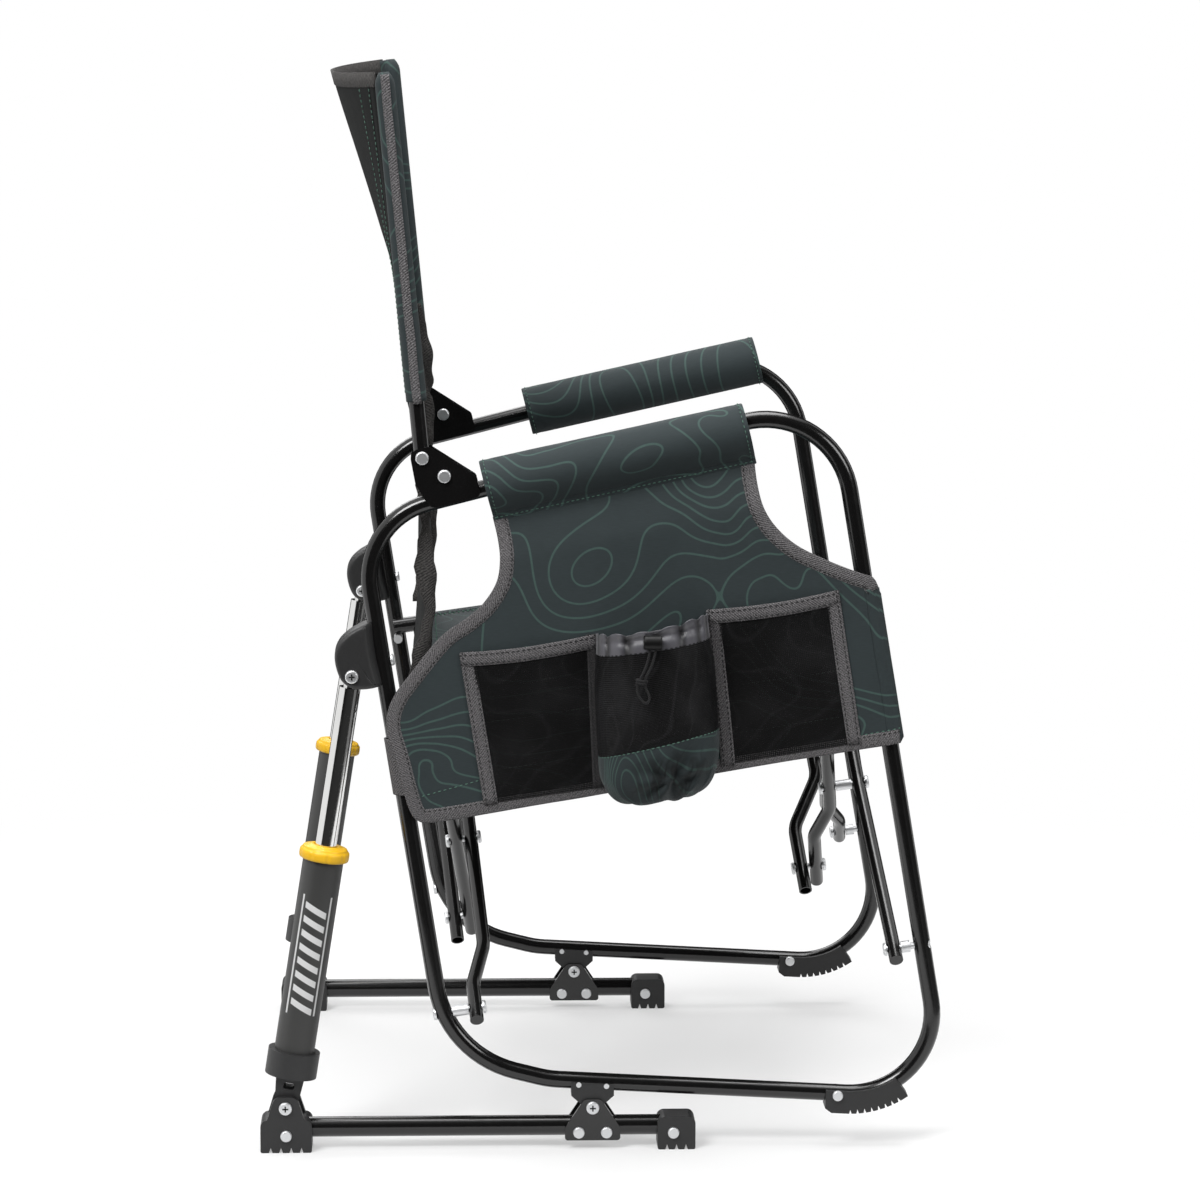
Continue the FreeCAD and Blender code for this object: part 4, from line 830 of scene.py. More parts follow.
def sleeve_section(half, flange):
    """Outline of the arm sleeve as (side, up) from its middle, starting under the arm."""
    points = []
    deep = half - 3.1 if flange else half
    centre = 3.1 if flange else 0.0
    if flange:
        points += [(0.0, -half), (-1.5, 0.2 - half), (-1.8, 3.6 - half), (-2.4, 6.4 - half)]
    turns = 34
    for k in range(turns + 1):
        t = math.radians(190.0 + 340.0 * k / turns)
        low = max(0.0, -math.cos(t))
        side = 22.4 * math.sin(t) * (1.0 - (0.5 if flange else 0.12) * low ** 1.7)
        points.append((side, centre + deep * math.cos(t)))
    if flange:
        points += [(2.4, 6.4 - half), (1.8, 3.6 - half), (1.5, 0.2 - half)]
    return points


def arm_sleeve(name, side, flange, offset):
    """A padded sleeve and the lines of its seams; it droops a little towards the front."""
    start, half, rise_rear, rise_front = SLEEVES[name]
    section = sleeve_section(half, flange)
    girth = around(section)
    mouth = [(4.0, "bore"), (2.2, 0.72), (0.6, 0.93), (0.0, 0.965), (0.5, 0.99), (2.0, 1.0), (6.6, 1.0),
             (7.4, 0.988)]
    lay = mouth + [(12.0 + (SLEEVE_LONG - 24.0) * k / 40.0, 1.0) for k in range(41)]
    lay += [(SLEEVE_LONG - a, b) for a, b in reversed(mouth)]

    def spot(along, s, u):
        rise = rise_rear + (rise_front - rise_rear) * along / SLEEVE_LONG
        return arm(start + along, rise + u, side * -SIDE + s)

    def tube_drop(along):
        """How far the tube has bent below the arm's line."""
        past = max(0.0, start + along - BEND_AT)
        return BEND_RADIUS - math.sqrt(BEND_RADIUS ** 2 - past * past)

    rows = []
    for along, k in lay:
        row = []
        for s, u in section:
            if k == "bore":
                r = 9.2 / max(1e-6, math.hypot(s, u))
                row.append(arm(start + along, u * r - tube_drop(along), side * -SIDE + s * r))
                continue
            inner = ease(8.0, 30.0, along) * ease(8.0, 30.0, SLEEVE_LONG - along)
            pucker = ease(-3.0, -22.0, u) * math.sin(along / 2.9 + 1.7 * math.sin(along / 21.0))
            swell = 1.0 + 0.016 * ripple(along, 3.0 * u, 40.0, 2.0 + s / 90.0) + 0.012 * pucker * inner
            row.append(spot(along, s * k * swell, u * k * (swell if u > 7.0 - half else 1.0)))
        rows.append(row)
    spans = [a for a, _ in lay]
    total = len(rows)
    piece = lattice(name + "_padded_sleeve", rows,
                    lambda i, j: (offset + spans[i % total], offset * 0.7 + girth[j]), ["cloth"],
                    wrap=True, ring=True)
    outward(piece)
    soften(piece, 1)
    hems = []
    for along in (4.2, SLEEVE_LONG - 4.2):
        line = [spot(along, s * 1.014, u * 1.010) for s, u in section]
        hems.append(line + line[:1])
    if flange:
        for s in (-2.2, 2.2):
            hems.append([spot(3.0 + 4.0 * k, s, 3.2 - half) for k in range(61)])
    return piece, hems


def panel_edge():
    """Outline of the side panel from under the sleeve's rear end round to its front end."""
    rear = [(-92.6, 597.0), (-87.9, 576.9), (-86.1, 558.3), (-89.3, 537.9), (-101.3, 518.4),
            (-117.9, 503.5), (-141.0, 486.8), (-170.6, 450.4), (-184.1, 431.7), (-190.4, 414.9),
            (-190.4, 398.0), (-182.9, 371.7), (-176.1, 344.4), (-169.5, 323.5), (-163.0, 315.5),
            (-153.0, 313.3), (-124.8, 317.2), (-65.4, 327.4), (7.0, 339.6), (61.8, 349.4),
            (122.1, 360.3), (200.2, 373.4), (285.5, 386.6)]
    front = [(263.0, 531.0), (257.4, 540.9), (243.9, 545.6), (214.2, 557.3), (187.2, 570.8),
             (167.7, 587.6), (155.6, 606.2), (149.9, 627.5), (147.2, 651.0)]
    return flow([Vector(p) for p in rear]), flow([Vector(p) for p in front])


def panel_depth(x, z):
    """How far a point of the panel hangs below the sleeve's seam."""
    p = Vector((x, z)) - ARM_AT
    seam = -31.9 - 0.0347 * (p.dot(ARM_DIR) - 60.0)
    return seam - p.dot(ARM_UP)


def panel_y(x, z):
    """The panel's middle surface: sewn into the sleeve at the top, hanging outside the loop below."""
    deep = panel_depth(x, z)
    tuck = 1.0 - ease(-4.0, 40.0, deep)
    wave = 2.0 * ripple(x, z * 0.6, 85.0, 4.0) + 0.8 * ripple(x, z * 0.4, 28.0, 9.0)
    pleat = 0.8 * (1.0 - ease(20.0, 90.0, deep)) * math.sin(x / 8.5 + 2.0 * math.sin(x / 37.0))
    pleat *= ease(2.0, 14.0, deep)
    wrap = 9.0 * ease(front_leg(z) + 2.0, front_leg(z) + 13.0, x) * ease(375.0, 386.0, z)
    wrap *= 1.0 - ease(536.0, 548.0, z)
    return PANEL_Y - 1.2 - (wave + pleat) * (1.0 - tuck) + tuck * 12.6 + wrap * 0.35


def on_panel(p, rise):
    """A drawing point at rise outside the panel's middle surface."""
    return Vector((p.x, panel_y(p.x, p.y) - rise, p.y))


# Corners of the net pockets: mouth rear and front, then foot front and rear
REAR_POCKET = [(-123.6, 472.0), (2.0, 489.5), (9.0, 346.0), (-101.0, 330.0)]
FRONT_POCKET = [(104.0, 511.5), (225.4, 529.4), (248.0, 387.0), (119.0, 366.0)]


def pocket_point(corners, u, v, lift=0.0):
    """A point on a net pocket: u from its rear edge to its front edge, v from its foot to its mouth."""
    a, b, c, d = (Vector(p) for p in corners)
    top = a.lerp(b, u)
    top.y -= 2.4 * math.sin(math.pi * u)
    p = (d.lerp(c, u)).lerp(top, v)
    full = math.sin(math.pi * u) ** 0.8 * (0.15 + 0.85 * v ** 0.8) * ease(0.0, 0.12, v)
    crease = 0.9 * ripple(p.x, p.y * 0.5, 33.0, 6.0) * math.sin(math.pi * u)
    return Vector((p.x, panel_y(p.x, p.y) - 1.0 - lift - 4.6 * full - crease * full, p.y))


def holder_row(t):
    """Section of the drink holder at t (0 mouth, 1 foot): centre x, half width, depth and height."""
    z = 500.0 - 3.0 * ease(0.0, 0.4, t) - 155.0 * t - 5.0 * ease(0.72, 1.0, t)
    half = 51.0 + 4.4 * ease(0.0, 0.35, t)
    depth = 60.0 - 1.5 * ease(0.1, 0.4, t)
    if t > 0.76:
        k = min(1.0, (t - 0.76) / 0.24)
        drop = math.sqrt(max(0.0, 1.0 - k ** 2.3))
        half *= 0.46 + 0.54 * drop
        depth *= 0.40 + 0.60 * drop
    return 53.0 + 9.5 * t, half, depth, z


class CHAIR_OT_finishes(bpy.types.Operator):
    """Makes the materials and gives the rigid pieces theirs"""
    bl_idname = "chair.finishes"
    bl_label = "Hard finishes"

    def execute(self, context):
        c = context.scene.chair_colours
        FINISHES.update({
            "paint": painted_steel(c),
            "plastic": plastic("moulded_plastic", c.plastic, 0.42, 0.5, 650.0),
            "black_plastic": plastic("black_plastic", shade(c.plastic, 0.16), 0.40, 0.3, 650.0, 0.25),
            "barrel": barrel_plastic(c),
            "amber": amber_plastic(c),
            "chrome": bright_metal("chrome", c.chrome, 0.06, 900.0),
            "zinc": bright_metal("zinc", c.zinc, 0.36, 2500.0),
            "spring": bright_metal("spring_steel", (0.35, 0.35, 0.36), 0.3, 1200.0),
            "cloth": printed_cloth(c),
            # The drink holder's cloth, with painted shade in the gathers of its foot.
            "holder_cloth": printed_cloth(c, "holder_cloth", True),
            "lining_and_shade": lining_and_shade(c),
            "binding": twill("binding_tape", c.binding),
            # Painted shade: a darker copy of the binding tape.
            "binding_in_shade": twill("shaded_tape", c.binding_in_shade),
            # Painted shade: the back's edge tapes, a darker copy of the binding.
            "edge_binding_in_shade": twill("edge_tape_in_shade", c.edge_binding_in_shade),
            "net": net_cloth("pocket_net", c.net, 0.24),
            "holder_net": net_cloth("holder_net", shade(c.net, 1.6), 0.22),
            "satin": satin_band(c),
            "green_thread": thread("green_thread", c.green_thread),
            "grey_thread": thread("grey_thread", c.grey_thread),
            "cord": braid(),
            "recess": recess(),
        })
        kinds = {
            "plastic": ("rear_foot", "front_foot", "saddle", "skid", "piston_housing", "knuckle"),
            "black_plastic": ("cord_lock",),
            "barrel": ("cylinder",),
            "amber": ("gland_ring",),
            "chrome": ("piston_rod",),
            "spring": ("coil_spring",),
            "zinc": ("base_bolts", "frame_bolts", "strut_pins", "crown_pin"),
        }
        for name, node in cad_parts.items():
            finish = "paint"
            for kind, ends in kinds.items():
                if name.endswith(ends):
                    finish = kind
            node.data.materials.clear()
            node.data.materials.append(FINISHES[finish])
        return {"FINISHED"}


class CHAIR_OT_cord(bpy.types.Operator):
    """Hangs the draw cord's loop from the cord lock"""
    bl_idname = "chair.cord"
    bl_label = "Draw cord"

    def execute(self, context):
        size = context.scene.chair_sizes
        route = [(48.4, -362.5, 485.1), (46.5, -363.1, 472), (37.5, -363.5, 455), (36.5, -363.5, 445),
                 (44.5, -363.5, 434.5), (49.5, -363.5, 441), (41.7, -363.5, 456), (51.4, -363.1, 472),
                 (53.6, -362.5, 485.1)]
        data = bpy.data.curves.new("draw_cord_loop", "CURVE")
        data.dimensions = "3D"
        line = data.splines.new("NURBS")
        line.points.add(len(route) - 1)
        for point, p in zip(line.points, route):
            point.co = (*place(*p), 1.0)
        line.order_u = 3
        line.use_endpoint_u = True
        line.resolution_u = 12
        data.bevel_depth = size.cord / 2
        data.bevel_resolution = 4
        data.materials.append(FINISHES["cord"])
        piece = bpy.data.objects.new("draw_cord_loop", data)
        context.scene.collection.objects.link(piece)
        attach(piece, "right_frame")
        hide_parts("draw_cord")
        knot = self.knot()
        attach(knot, "right_frame")
        graph = context.evaluated_depsgraph_get()
        length = piece.evaluated_get(graph).data.splines[0].calc_length()
        tuple(place(*route[0]))
        return {"FINISHED"}

    def knot(self):
        """Wraps of cord drawn round both strands."""
        rows = []
        turns, steps = 2.6, 58
        for k in range(steps + 1):
            a = 2 * math.pi * turns * k / steps
            rx = 4.4 + 0.4 * math.sin(a * 0.37)
            sink = 6.0 * k / steps
            x = 41.4 - 0.2 * sink + rx * math.cos(a)
            rows.append(Vector((x, -363.4 + 2.6 * math.sin(a), 459.0 - sink)))
        tube = []
        for k, p in enumerate(rows):
            t = (rows[min(k + 1, steps)] - rows[max(k - 1, 0)]).normalized()
            side = t.cross(Vector((0, 0, 1))).normalized()
            up = side.cross(t)
            r = 1.2 * (0.35 + 0.65 * min(1.0, min(k, steps - k) / 3.0))
            tube.append([p + (side * math.cos(b) + up * math.sin(b)) * r
                         for b in (2 * math.pi * m / 8 for m in range(8))])
        return strand("cord_knot", tube, lambda i, j: (i * 2.0, j * 1.2), "cord")


class CHAIR_OT_rings(bpy.types.Operator):
    """Turns the low fluted gland ring on the top of each piston barrel"""
    bl_idname = "chair.rings"
    bl_label = "Gland rings"

    def execute(self, context):
        profile = [(10.4, 236.3), (18.6, 236.3), (21.8, 236.5), (23.1, 237.6), (23.5, 239.4),
                   (23.5, 243.4), (23.1, 245.2), (22.0, 246.2), (21.2, 246.7), (20.9, 248.2),
                   (20.0, 249.0), (14.6, 249.2), (13.8, 250.4), (11.4, 250.6), (10.4, 249.9)]
        count, flutes = 90, 9
        lean = Vector((PISTON_LEAN[0], 0.0, PISTON_LEAN[1]))
        out = Vector((lean.z, 0.0, -lean.x))
        for side, name in ((1, "right"), (-1, "left")):
            foot = Vector((PISTON_FOOT[0], side * SIDE, PISTON_FOOT[1]))
            rows = []
            for r, d in profile:
                row = []
                for k in range(count):
                    a = 2 * math.pi * k / count
                    dent = 0.9 * max(0.0, math.cos(flutes * a)) ** 8 * ease(20.5, 23.0, r)
                    spoke = out * math.cos(a) + Vector((0.0, math.sin(a), 0.0))
                    row.append(foot + lean * d + spoke * (r - dent))
                rows.append(row)
            piece = lattice(name + "_gland_cap", rows, lambda i, j: (1.6 * j, 2.0 * i), ["amber"],
                            wrap=True, ring=True)
            outward(piece)
            soften(piece, 1)
            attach(piece, name + "_cylinder")
            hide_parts(name + "_gland_ring")
        return {"FINISHED"}


class CHAIR_OT_housings(bpy.types.Operator):
    """Moulds the D-shaped housing over each piston's top eye"""
    bl_idname = "chair.housings"
    bl_label = "Piston housings"

    def execute(self, context):
        bend_x, bend_z = REAR_CORNERS[0]
        up = Vector((ARM_REAR.x - bend_x, ARM_REAR.y - bend_z)).normalized()
        back = Vector((-up.y, up.x))
        root = Vector((rear_leg(PISTON_EYE[1]), PISTON_EYE[1]))
        spots = [(50.2, 8.6), (49.6, 11.0), (47.6, 17.0), (44.4, 25.0), (39.0, 33.4), (32.3, 38.9),
                 (25.0, 41.3), (17.0, 41.8), (8.2, 40.7), (2.2, 38.8), (-2.0, 35.8), (-5.0, 31.5),
                 (-7.6, 25.0), (-8.6, 18.0), (-8.6, 11.0), (-8.4, 8.4), (0.0, 8.8), (15.0, 10.2),
                 (31.0, 10.2), (44.0, 9.2)]
        line = flow([Vector(spot) for spot in spots], 3.0, True)
        count = len(line)
        rims = [(4.2, -15.0), (2.2, -14.8), (0.8, -14.1), (0.0, -12.6), (0.0, -6.0)]
        rims += [(inset, -y) for inset, y in reversed(rims)]

        def open_below(i, j):
            """True for the faces left out where the piston comes in."""
            return 3 <= i <= 5 and line[j].x < -3.5 and 13.0 < line[j].y < 38.0

        for side, name in ((1, "right"), (-1, "left")):
            rows = []
            for inset, y in rims:
                row = []
                for i, p in enumerate(line):
                    run = (line[(i + 1) % count] - line[i - 1]).normalized()
                    q = p + Vector((-run.y, run.x)) * inset
                    if abs(y) < 7.0:
                        q.y -= 6.0 * (1.0 - ease(10.5, 15.0, q.y))
                    spot = root + up * q.x + back * q.y
                    row.append((spot.x, side * SIDE + y, spot.y))
                rows.append(row)
            piece = lattice(name + "_moulded_housing", rows, lambda i, j: (3.0 * j, 4.0 * i),
                            ["plastic"], wrap=True, caps=True, skip=open_below)
            outward(piece)
            soften(piece, 1, 2.0)
            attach(piece, name + "_frame")
            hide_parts(name + "_piston_housing")
        return {"FINISHED"}


class CHAIR_OT_sleeves(bpy.types.Operator):
    """Draws the padded cloth sleeves over both arms"""
    bl_idname = "chair.sleeves"
    bl_label = "Arm sleeves"

    def execute(self, context):
        size = context.scene.chair_sizes
        for name, side, flange, offset in (("right", -1, True, 150.0), ("left", 1, False, 900.0)):
            piece, hems = arm_sleeve(name, side, flange, offset)
            seams = sew(name + "_sleeve_stitches", hems, "green_thread", size)
            for part in (piece, seams):
                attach(part, name + "_frame")
            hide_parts(name + "_arm_sleeve")
        return {"FINISHED"}


class CHAIR_OT_panel(bpy.types.Operator):
    """Hangs the side panel with its bindings, its fold round the front leg and its rear strap"""
    bl_idname = "chair.panel"
    bl_label = "Side panel"

    def execute(self, context):
        size = context.scene.chair_sizes
        rear, front = panel_edge()
        nose = [Vector((front_leg(z) + 13.0, z)) for z in (392.0, 420.0, 450.0, 480.0, 510.0, 526.0)]
        outline = rear + flow(nose, 6.0) + front
        piece = self.cloth(outline)
        soften(piece, 0, size.cloth)
        edges = [
            ribbon("panel_rear_binding", rear, side_of(rear, 1.0), on_panel, "binding", size),
            ribbon("panel_front_binding", front, side_of(front, 1.0), on_panel, "binding", size),
            self.front_fold(size), self.leg_strap(),
        ]
        lines = []
        inset = size.tape - 2.0
        for line in (rear, front):
            lines.append([on_panel(p + n * inset, size.tape_rise + 0.15)
                          for p, n in zip(line, side_of(line))])
        tape_seams = sew("panel_tape_stitches", lines, "grey_thread", size)
        green = []
        for a, b in (((-162.7, 336.8), (-103.0, 353.6)), ((253.0, 394.6), (284.0, 400.0)),
                     ((-98.7, 407.1), (0.0, 421.5)), ((118.0, 439.0), (222.0, 454.0)),
                     ((-92.0, 362.0), (4.0, 377.0)), ((122.0, 395.0), (226.0, 410.8))):
            a, b = Vector(a), Vector(b)
            green.append([on_panel(a.lerp(b, k / 16.0), 0.75) for k in range(17)])
        seams = sew("panel_stitches", green, "green_thread", size)
        for part in (piece, tape_seams, seams, *edges):
            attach(part, "right_frame")
        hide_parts("side_panel")
        return {"FINISHED"}

    def cloth(self, outline):
        """The panel's sheet: a net of triangles that keeps to the outline."""
        xs = [p.x for p in outline]
        zs = [p.y for p in outline]
        n = len(outline)
        inside = []
        step = 8.0
        z = min(zs)
        while z < max(zs):
            x = min(xs)
            while x < max(xs):
                if self.within(outline, x, z):
                    inside.append(Vector((x, z)))
                x += step
            z += step
        rim = [(i, (i + 1) % n) for i in range(n)]
        points, _, faces, *_ = delaunay_2d_cdt(outline + inside, rim, [], 1, 0.01)
        spots = [place(p.x, panel_y(p.x, p.y), p.y) for p in points]
        maps = [[(points[i].x + 400.0, points[i].y) for i in face] for face in faces]
        return sewn("side_panel_cloth", spots, [list(face) for face in faces], maps, ["cloth"])

    def within(self, outline, x, z):
        """True for a point well inside the outline."""
        odd = False
        near = 1e9
        for a, b in zip(outline, outline[1:] + outline[:1]):
            if (a.y > z) != (b.y > z) and x < a.x + (z - a.y) / (b.y - a.y) * (b.x - a.x):
                odd = not odd
            near = min(near, (a - Vector((x, z))).length_squared)
        return odd and near > 9.0

    def front_fold(self, size):
        """The panel's front edge turned round the front leg and sewn back."""
        rows = []
        heights = [389.5 + 4.4 * k for k in range(33)]
        arc = [math.radians(-90.0 + 180.0 * k / 12.0) for k in range(13)]
        for z in heights:
            x = front_leg(z)
            reach = 11.6 + 0.4 * ripple(z, 0.0, 22.0)
            row = [Vector((x - 2.0, panel_y(x - 2.0, z) - 0.3, z))]
            for a in arc:
                y = SIDE + (10.9 if a > 0 else 12.6 - 0.3) * math.sin(a)
                row.append(Vector((x + 1.0 + reach * math.cos(a), y, z)))
            row += [Vector((x - d, SIDE + 10.3 - 0.04 * d, z)) for d in (5.0, 12.0, 20.0, 28.0)]
            rows.append(row)
        piece = lattice("panel_front_fold", rows,
                        lambda i, j: (front_leg(heights[i]) + 398.0 + 3.6 * j, heights[i]), ["cloth"])
        soften(piece, 1, size.cloth)
        return piece

    def leg_strap(self):
        """Webbing loop that holds the panel to the rear leg."""
        rows = []
        heights = [338.0 + 2.5 * k for k in range(22)]
        for z in heights:
            x = rear_leg(z)
            row = [Vector((x + d, panel_y(x + d, z) + 0.9, z)) for d in (22.0, 12.0, 4.0)]
            for k in range(11):
                a = math.radians(-90.0 - 18.0 * k)
                row.append(Vector((x + 9.8 * math.cos(a), SIDE + 9.8 * math.sin(a), z)))
            row += [Vector((x + d, SIDE + 9.9, z)) for d in (6.0, 14.0, 24.0)]
            row[-1].y -= 0.4
            rows.append(row)
        piece = lattice("leg_strap", rows, lambda i, j: (heights[i], 3.2 * j), ["binding"])
        soften(piece, 1, 1.4)
        return piece


class CHAIR_OT_pockets(bpy.types.Operator):
    """Sews the two net pockets on the panel"""
    bl_idname = "chair.pockets"
    bl_label = "Net pockets"

    def execute(self, context):
        size = context.scene.chair_sizes
        # The rear pocket's front tape takes the painted-shade copy of the binding.
        for name, corners, tapes in (("rear", REAR_POCKET, ("binding", "binding_in_shade")),
                                     ("front", FRONT_POCKET, ("binding", "binding"))):
            self.pocket(name, corners, tapes, size)
        return {"FINISHED"}

    def pocket(self, name, corners, tapes, size):
        """One net with its side tapes, its mouth tape and their stitches."""
        a, b, c, d = (Vector(p) for p in corners)
        wide, tall = (b - a).length, (a - d).length
        nu, nv = 26, 28
        rows = [[pocket_point(corners, j / nu, i / nv) for j in range(nu + 1)] for i in range(nv + 1)]
        net = lattice(name + "_pocket_net", rows, lambda i, j: (wide * j / nu, tall * i / nv), ["net"])
        soften(net, 1, 0.7)
        pieces, lines = [], []
        for edge, u, turn, finish in (("rear", 0.0, 1.0, tapes[0]), ("front", 1.0, -1.0, tapes[1])):
            spine = [d.lerp(a, k / 24.0) if u == 0.0 else c.lerp(b, k / 24.0) for k in range(25)]
            inward = side_of(spine, -turn)
            w = size.tape if finish == "binding" else size.tape - 3.0

            def seat(p, rise):
                return Vector((p.x, panel_y(p.x, p.y) - 1.9 - rise, p.y))

            pieces.append(ribbon("%s_pocket_%s_tape" % (name, edge), spine, inward, seat, finish, size,
                                 w, 0.9))
            for inset in (2.0, w - 2.0):
                lines.append([seat(p + n * inset, 1.3) for p, n in zip(spine, inward)])
        mouth = [k / 32.0 for k in range(33)]
        top = [pocket_point(corners, u, 1.0) for u in mouth]
        spine = [Vector((p.x, p.z)) for p in top]
        height = [p.y for p in top]
        inward = side_of(spine, -1.0)
        band = self.mouth_tape(name, spine, height, inward, size)
        pieces.append(band)
        for inset in (2.0, size.tape - 2.0):
            lines.append([Vector((p.x + n.x * inset, y - 2.0, p.y + n.y * inset))
                          for p, n, y in zip(spine, inward, height)])
        seams = sew(name + "_pocket_stitches", lines, "grey_thread", size)
        for part in (net, seams, *pieces):
            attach(part, "right_frame")
        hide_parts(name + "_mesh_pocket")
        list(pieces)

    def mouth_tape(self, name, spine, height, inward, size):
        """Binding folded over the pocket's mouth, bowed out with the net."""
        where = {}
        for p, y in zip(spine, height):
            where[round(p.x, 3)] = y
        keys = sorted(where)

        def seat(p, rise):
            x = min(keys, key=lambda k: abs(k - p.x))
            return Vector((p.x, where[x] - 0.5 - rise, p.y))

        return ribbon(name + "_pocket_mouth_tape", spine, inward, seat, "binding", size, None, 1.1)


class CHAIR_OT_holder(bpy.types.Operator):
    """Gathers the drink holder: satin mouth, net body and printed foot"""
    bl_idname = "chair.holder"
    bl_label = "Drink holder"

    def execute(self, context):
        size = context.scene.chair_sizes
        steps = [0.0, 0.010, 0.022, 0.036, 0.05, 0.065, 0.08, 0.10, HOLDER_BAND]
        band_rows = len(steps) - 1
        net_rows, foot_rows = 24, 20
        steps += [HOLDER_BAND + (HOLDER_SEAM - HOLDER_BAND) * k / net_rows
                  for k in range(1, net_rows + 1)]
        steps += [HOLDER_SEAM + (1 - HOLDER_SEAM) * (1 - (1 - k / foot_rows) ** 1.6)
                  for k in range(1, foot_rows + 1)]
        rows = [self.section(t) for t in steps]
        cols = len(rows[0])
        foot = sum(rows[-1], Vector()) / cols
        rows.append([p.lerp(foot, 0.6) for p in rows[-1]])
        steps.append(1.04)

        def cut(i, j):
            return HOLDER_GIRTH * j / cols + HOLDER_CUT, 640.0 - 165.0 * steps[i]

        def zone(i, j):
            return 0 if i < band_rows else (1 if i < band_rows + net_rows else 2)

        piece = lattice("drink_holder_bag", rows, cut, ["satin", "holder_net", "holder_cloth"],
                        wrap=True, zone=zone)
        self.close_foot(piece, cols, len(rows))
        soften(piece, 1, 0.9)
        seam = self.section(HOLDER_SEAM + 0.002)[HOLDER_BACK:]
        band = self.section(HOLDER_BAND - 0.002)[HOLDER_BACK:]
        proud = Vector((0, -0.8, 0))
        seams = sew("drink_holder_stitches", [[p + proud for p in seam]], "green_thread", size)
        hem = sew("drink_holder_hem_stitches", [[p + proud for p in band]], "grey_thread", size)
        for part in (piece, seams, hem):
            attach(part, "right_frame")
        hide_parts("drink_holder")
        return {"FINISHED"}

    def section(self, t):
        """Closed section: HOLDER_BACK points along the panel, then the rest round the front."""
        cx, half, depth, z = holder_row(t)
        slope = 0.185 - 0.03 * ease(0.0, 0.12, t) + 0.085 * ease(0.15, 0.66, t)
        slope -= 0.09 * ease(0.76, 0.97, t)
        dip = -3.5 * (1.0 - ease(0.0, 0.3, t)) - 5.0 * ease(0.45, 0.7, t)
        row = []
        for k in range(HOLDER_BACK):
            x = cx + half * (1.0 - 2.0 * k / HOLDER_BACK)
            low = z - 7.0 * (1.0 - ease(0.0, 0.2, t)) + slope * (x - 58.0)
            row.append(Vector((x, panel_y(x, z) - 1.6, low)))
        for k in range(HOLDER_COLS - HOLDER_BACK):
            a = math.pi * k / HOLDER_FRONT
            x = cx - half * math.cos(a) * (1.0 + 0.05 * math.sin(2 * a) ** 2)
            out = depth * math.sin(a) ** 0.78
            along = HOLDER_RUN * a / math.pi
            gather = 1.0 - 0.75 * ease(0.03, 0.13, t) - 0.25 * ease(0.13, 0.3, t)
            gather *= math.sin(a) ** 0.3
            puff = abs(math.sin(along / 5.2 + 0.9 * math.sin(along / 19.0)))
            ruffle = gather * (10.0 * puff ** 0.6 - 8.4 + 0.9 * math.sin(along / 1.6 + 2.0))
            lip = gather * (1.0 - ease(0.0, 0.09, t))
            lip *= 5.5 * puff ** 0.7 - 3.0 + 2.0 * math.sin(along / 17.0 + 1.0)
            pinch = -4.0 * math.exp(-((t - 0.045) / 0.018) ** 2) * math.sin(a) ** 0.3
            sway = 2.6 * ripple(along, t * 60.0, 26.0, 3.0) + 1.2 * ripple(along, t * 30.0, 9.0, 8.0)
            drape = math.sin(a) * sway * ease(0.12, 0.3, t)
            pleat = 4.2 * math.sin(along / 4.3 + 2.2 * math.sin(along / 17.0)) - 1.0
            tuck = ease(0.76, 0.95, t) * pleat
            away, rise = (along - 0.55 * HOLDER_RUN) / 30.0, (t - 0.885) * 155.0 / 19.0
            star = 7.0 + 5.5 * math.sin(5.0 * math.atan2(rise, away) + 0.8)
            crush = math.exp(-away * away - rise * rise) * star
            relief = ruffle + pinch + drape + tuck * 0.8 - crush
            y = panel_y(x, z) - 1.6 - out - relief * math.sin(a) ** 0.5
            belly = 6.0 * ease(0.78, 1.0, t) * math.sin(a) ** 2
            height = z + slope * (x - 58.0) - dip * math.sin(a) - belly + lip + tuck * 0.5
            row.append(Vector((x, y, height)))
        return row

    def close_foot(self, piece, cols, count):
        """Draws the last of count rows together in a fan."""
        b = bmesh.new()
        b.from_mesh(piece.data)
        b.verts.ensure_lookup_table()
        last = [b.verts[(count - 1) * cols + j] for j in range(cols)]
        centre = b.verts.new(sum((v.co for v in last), Vector()) / cols + Vector((0, 0, 0.004)))
        layer = b.loops.layers.uv["Cut"]
        for j in range(cols):
            face = b.faces.new((last[j], last[(j + 1) % cols], centre))
            face.material_index = 2
            face.smooth = True
            for loop, spot in zip(face.loops, ((j, 468.0), (j + 1, 468.0), (j + 0.5, 460.0))):
                loop[layer].uv = ((HOLDER_GIRTH * spot[0] / cols + HOLDER_CUT) * MM, spot[1] * MM)
        bmesh.ops.recalc_face_normals(b, faces=b.faces)
        b.to_mesh(piece.data)
        b.free()


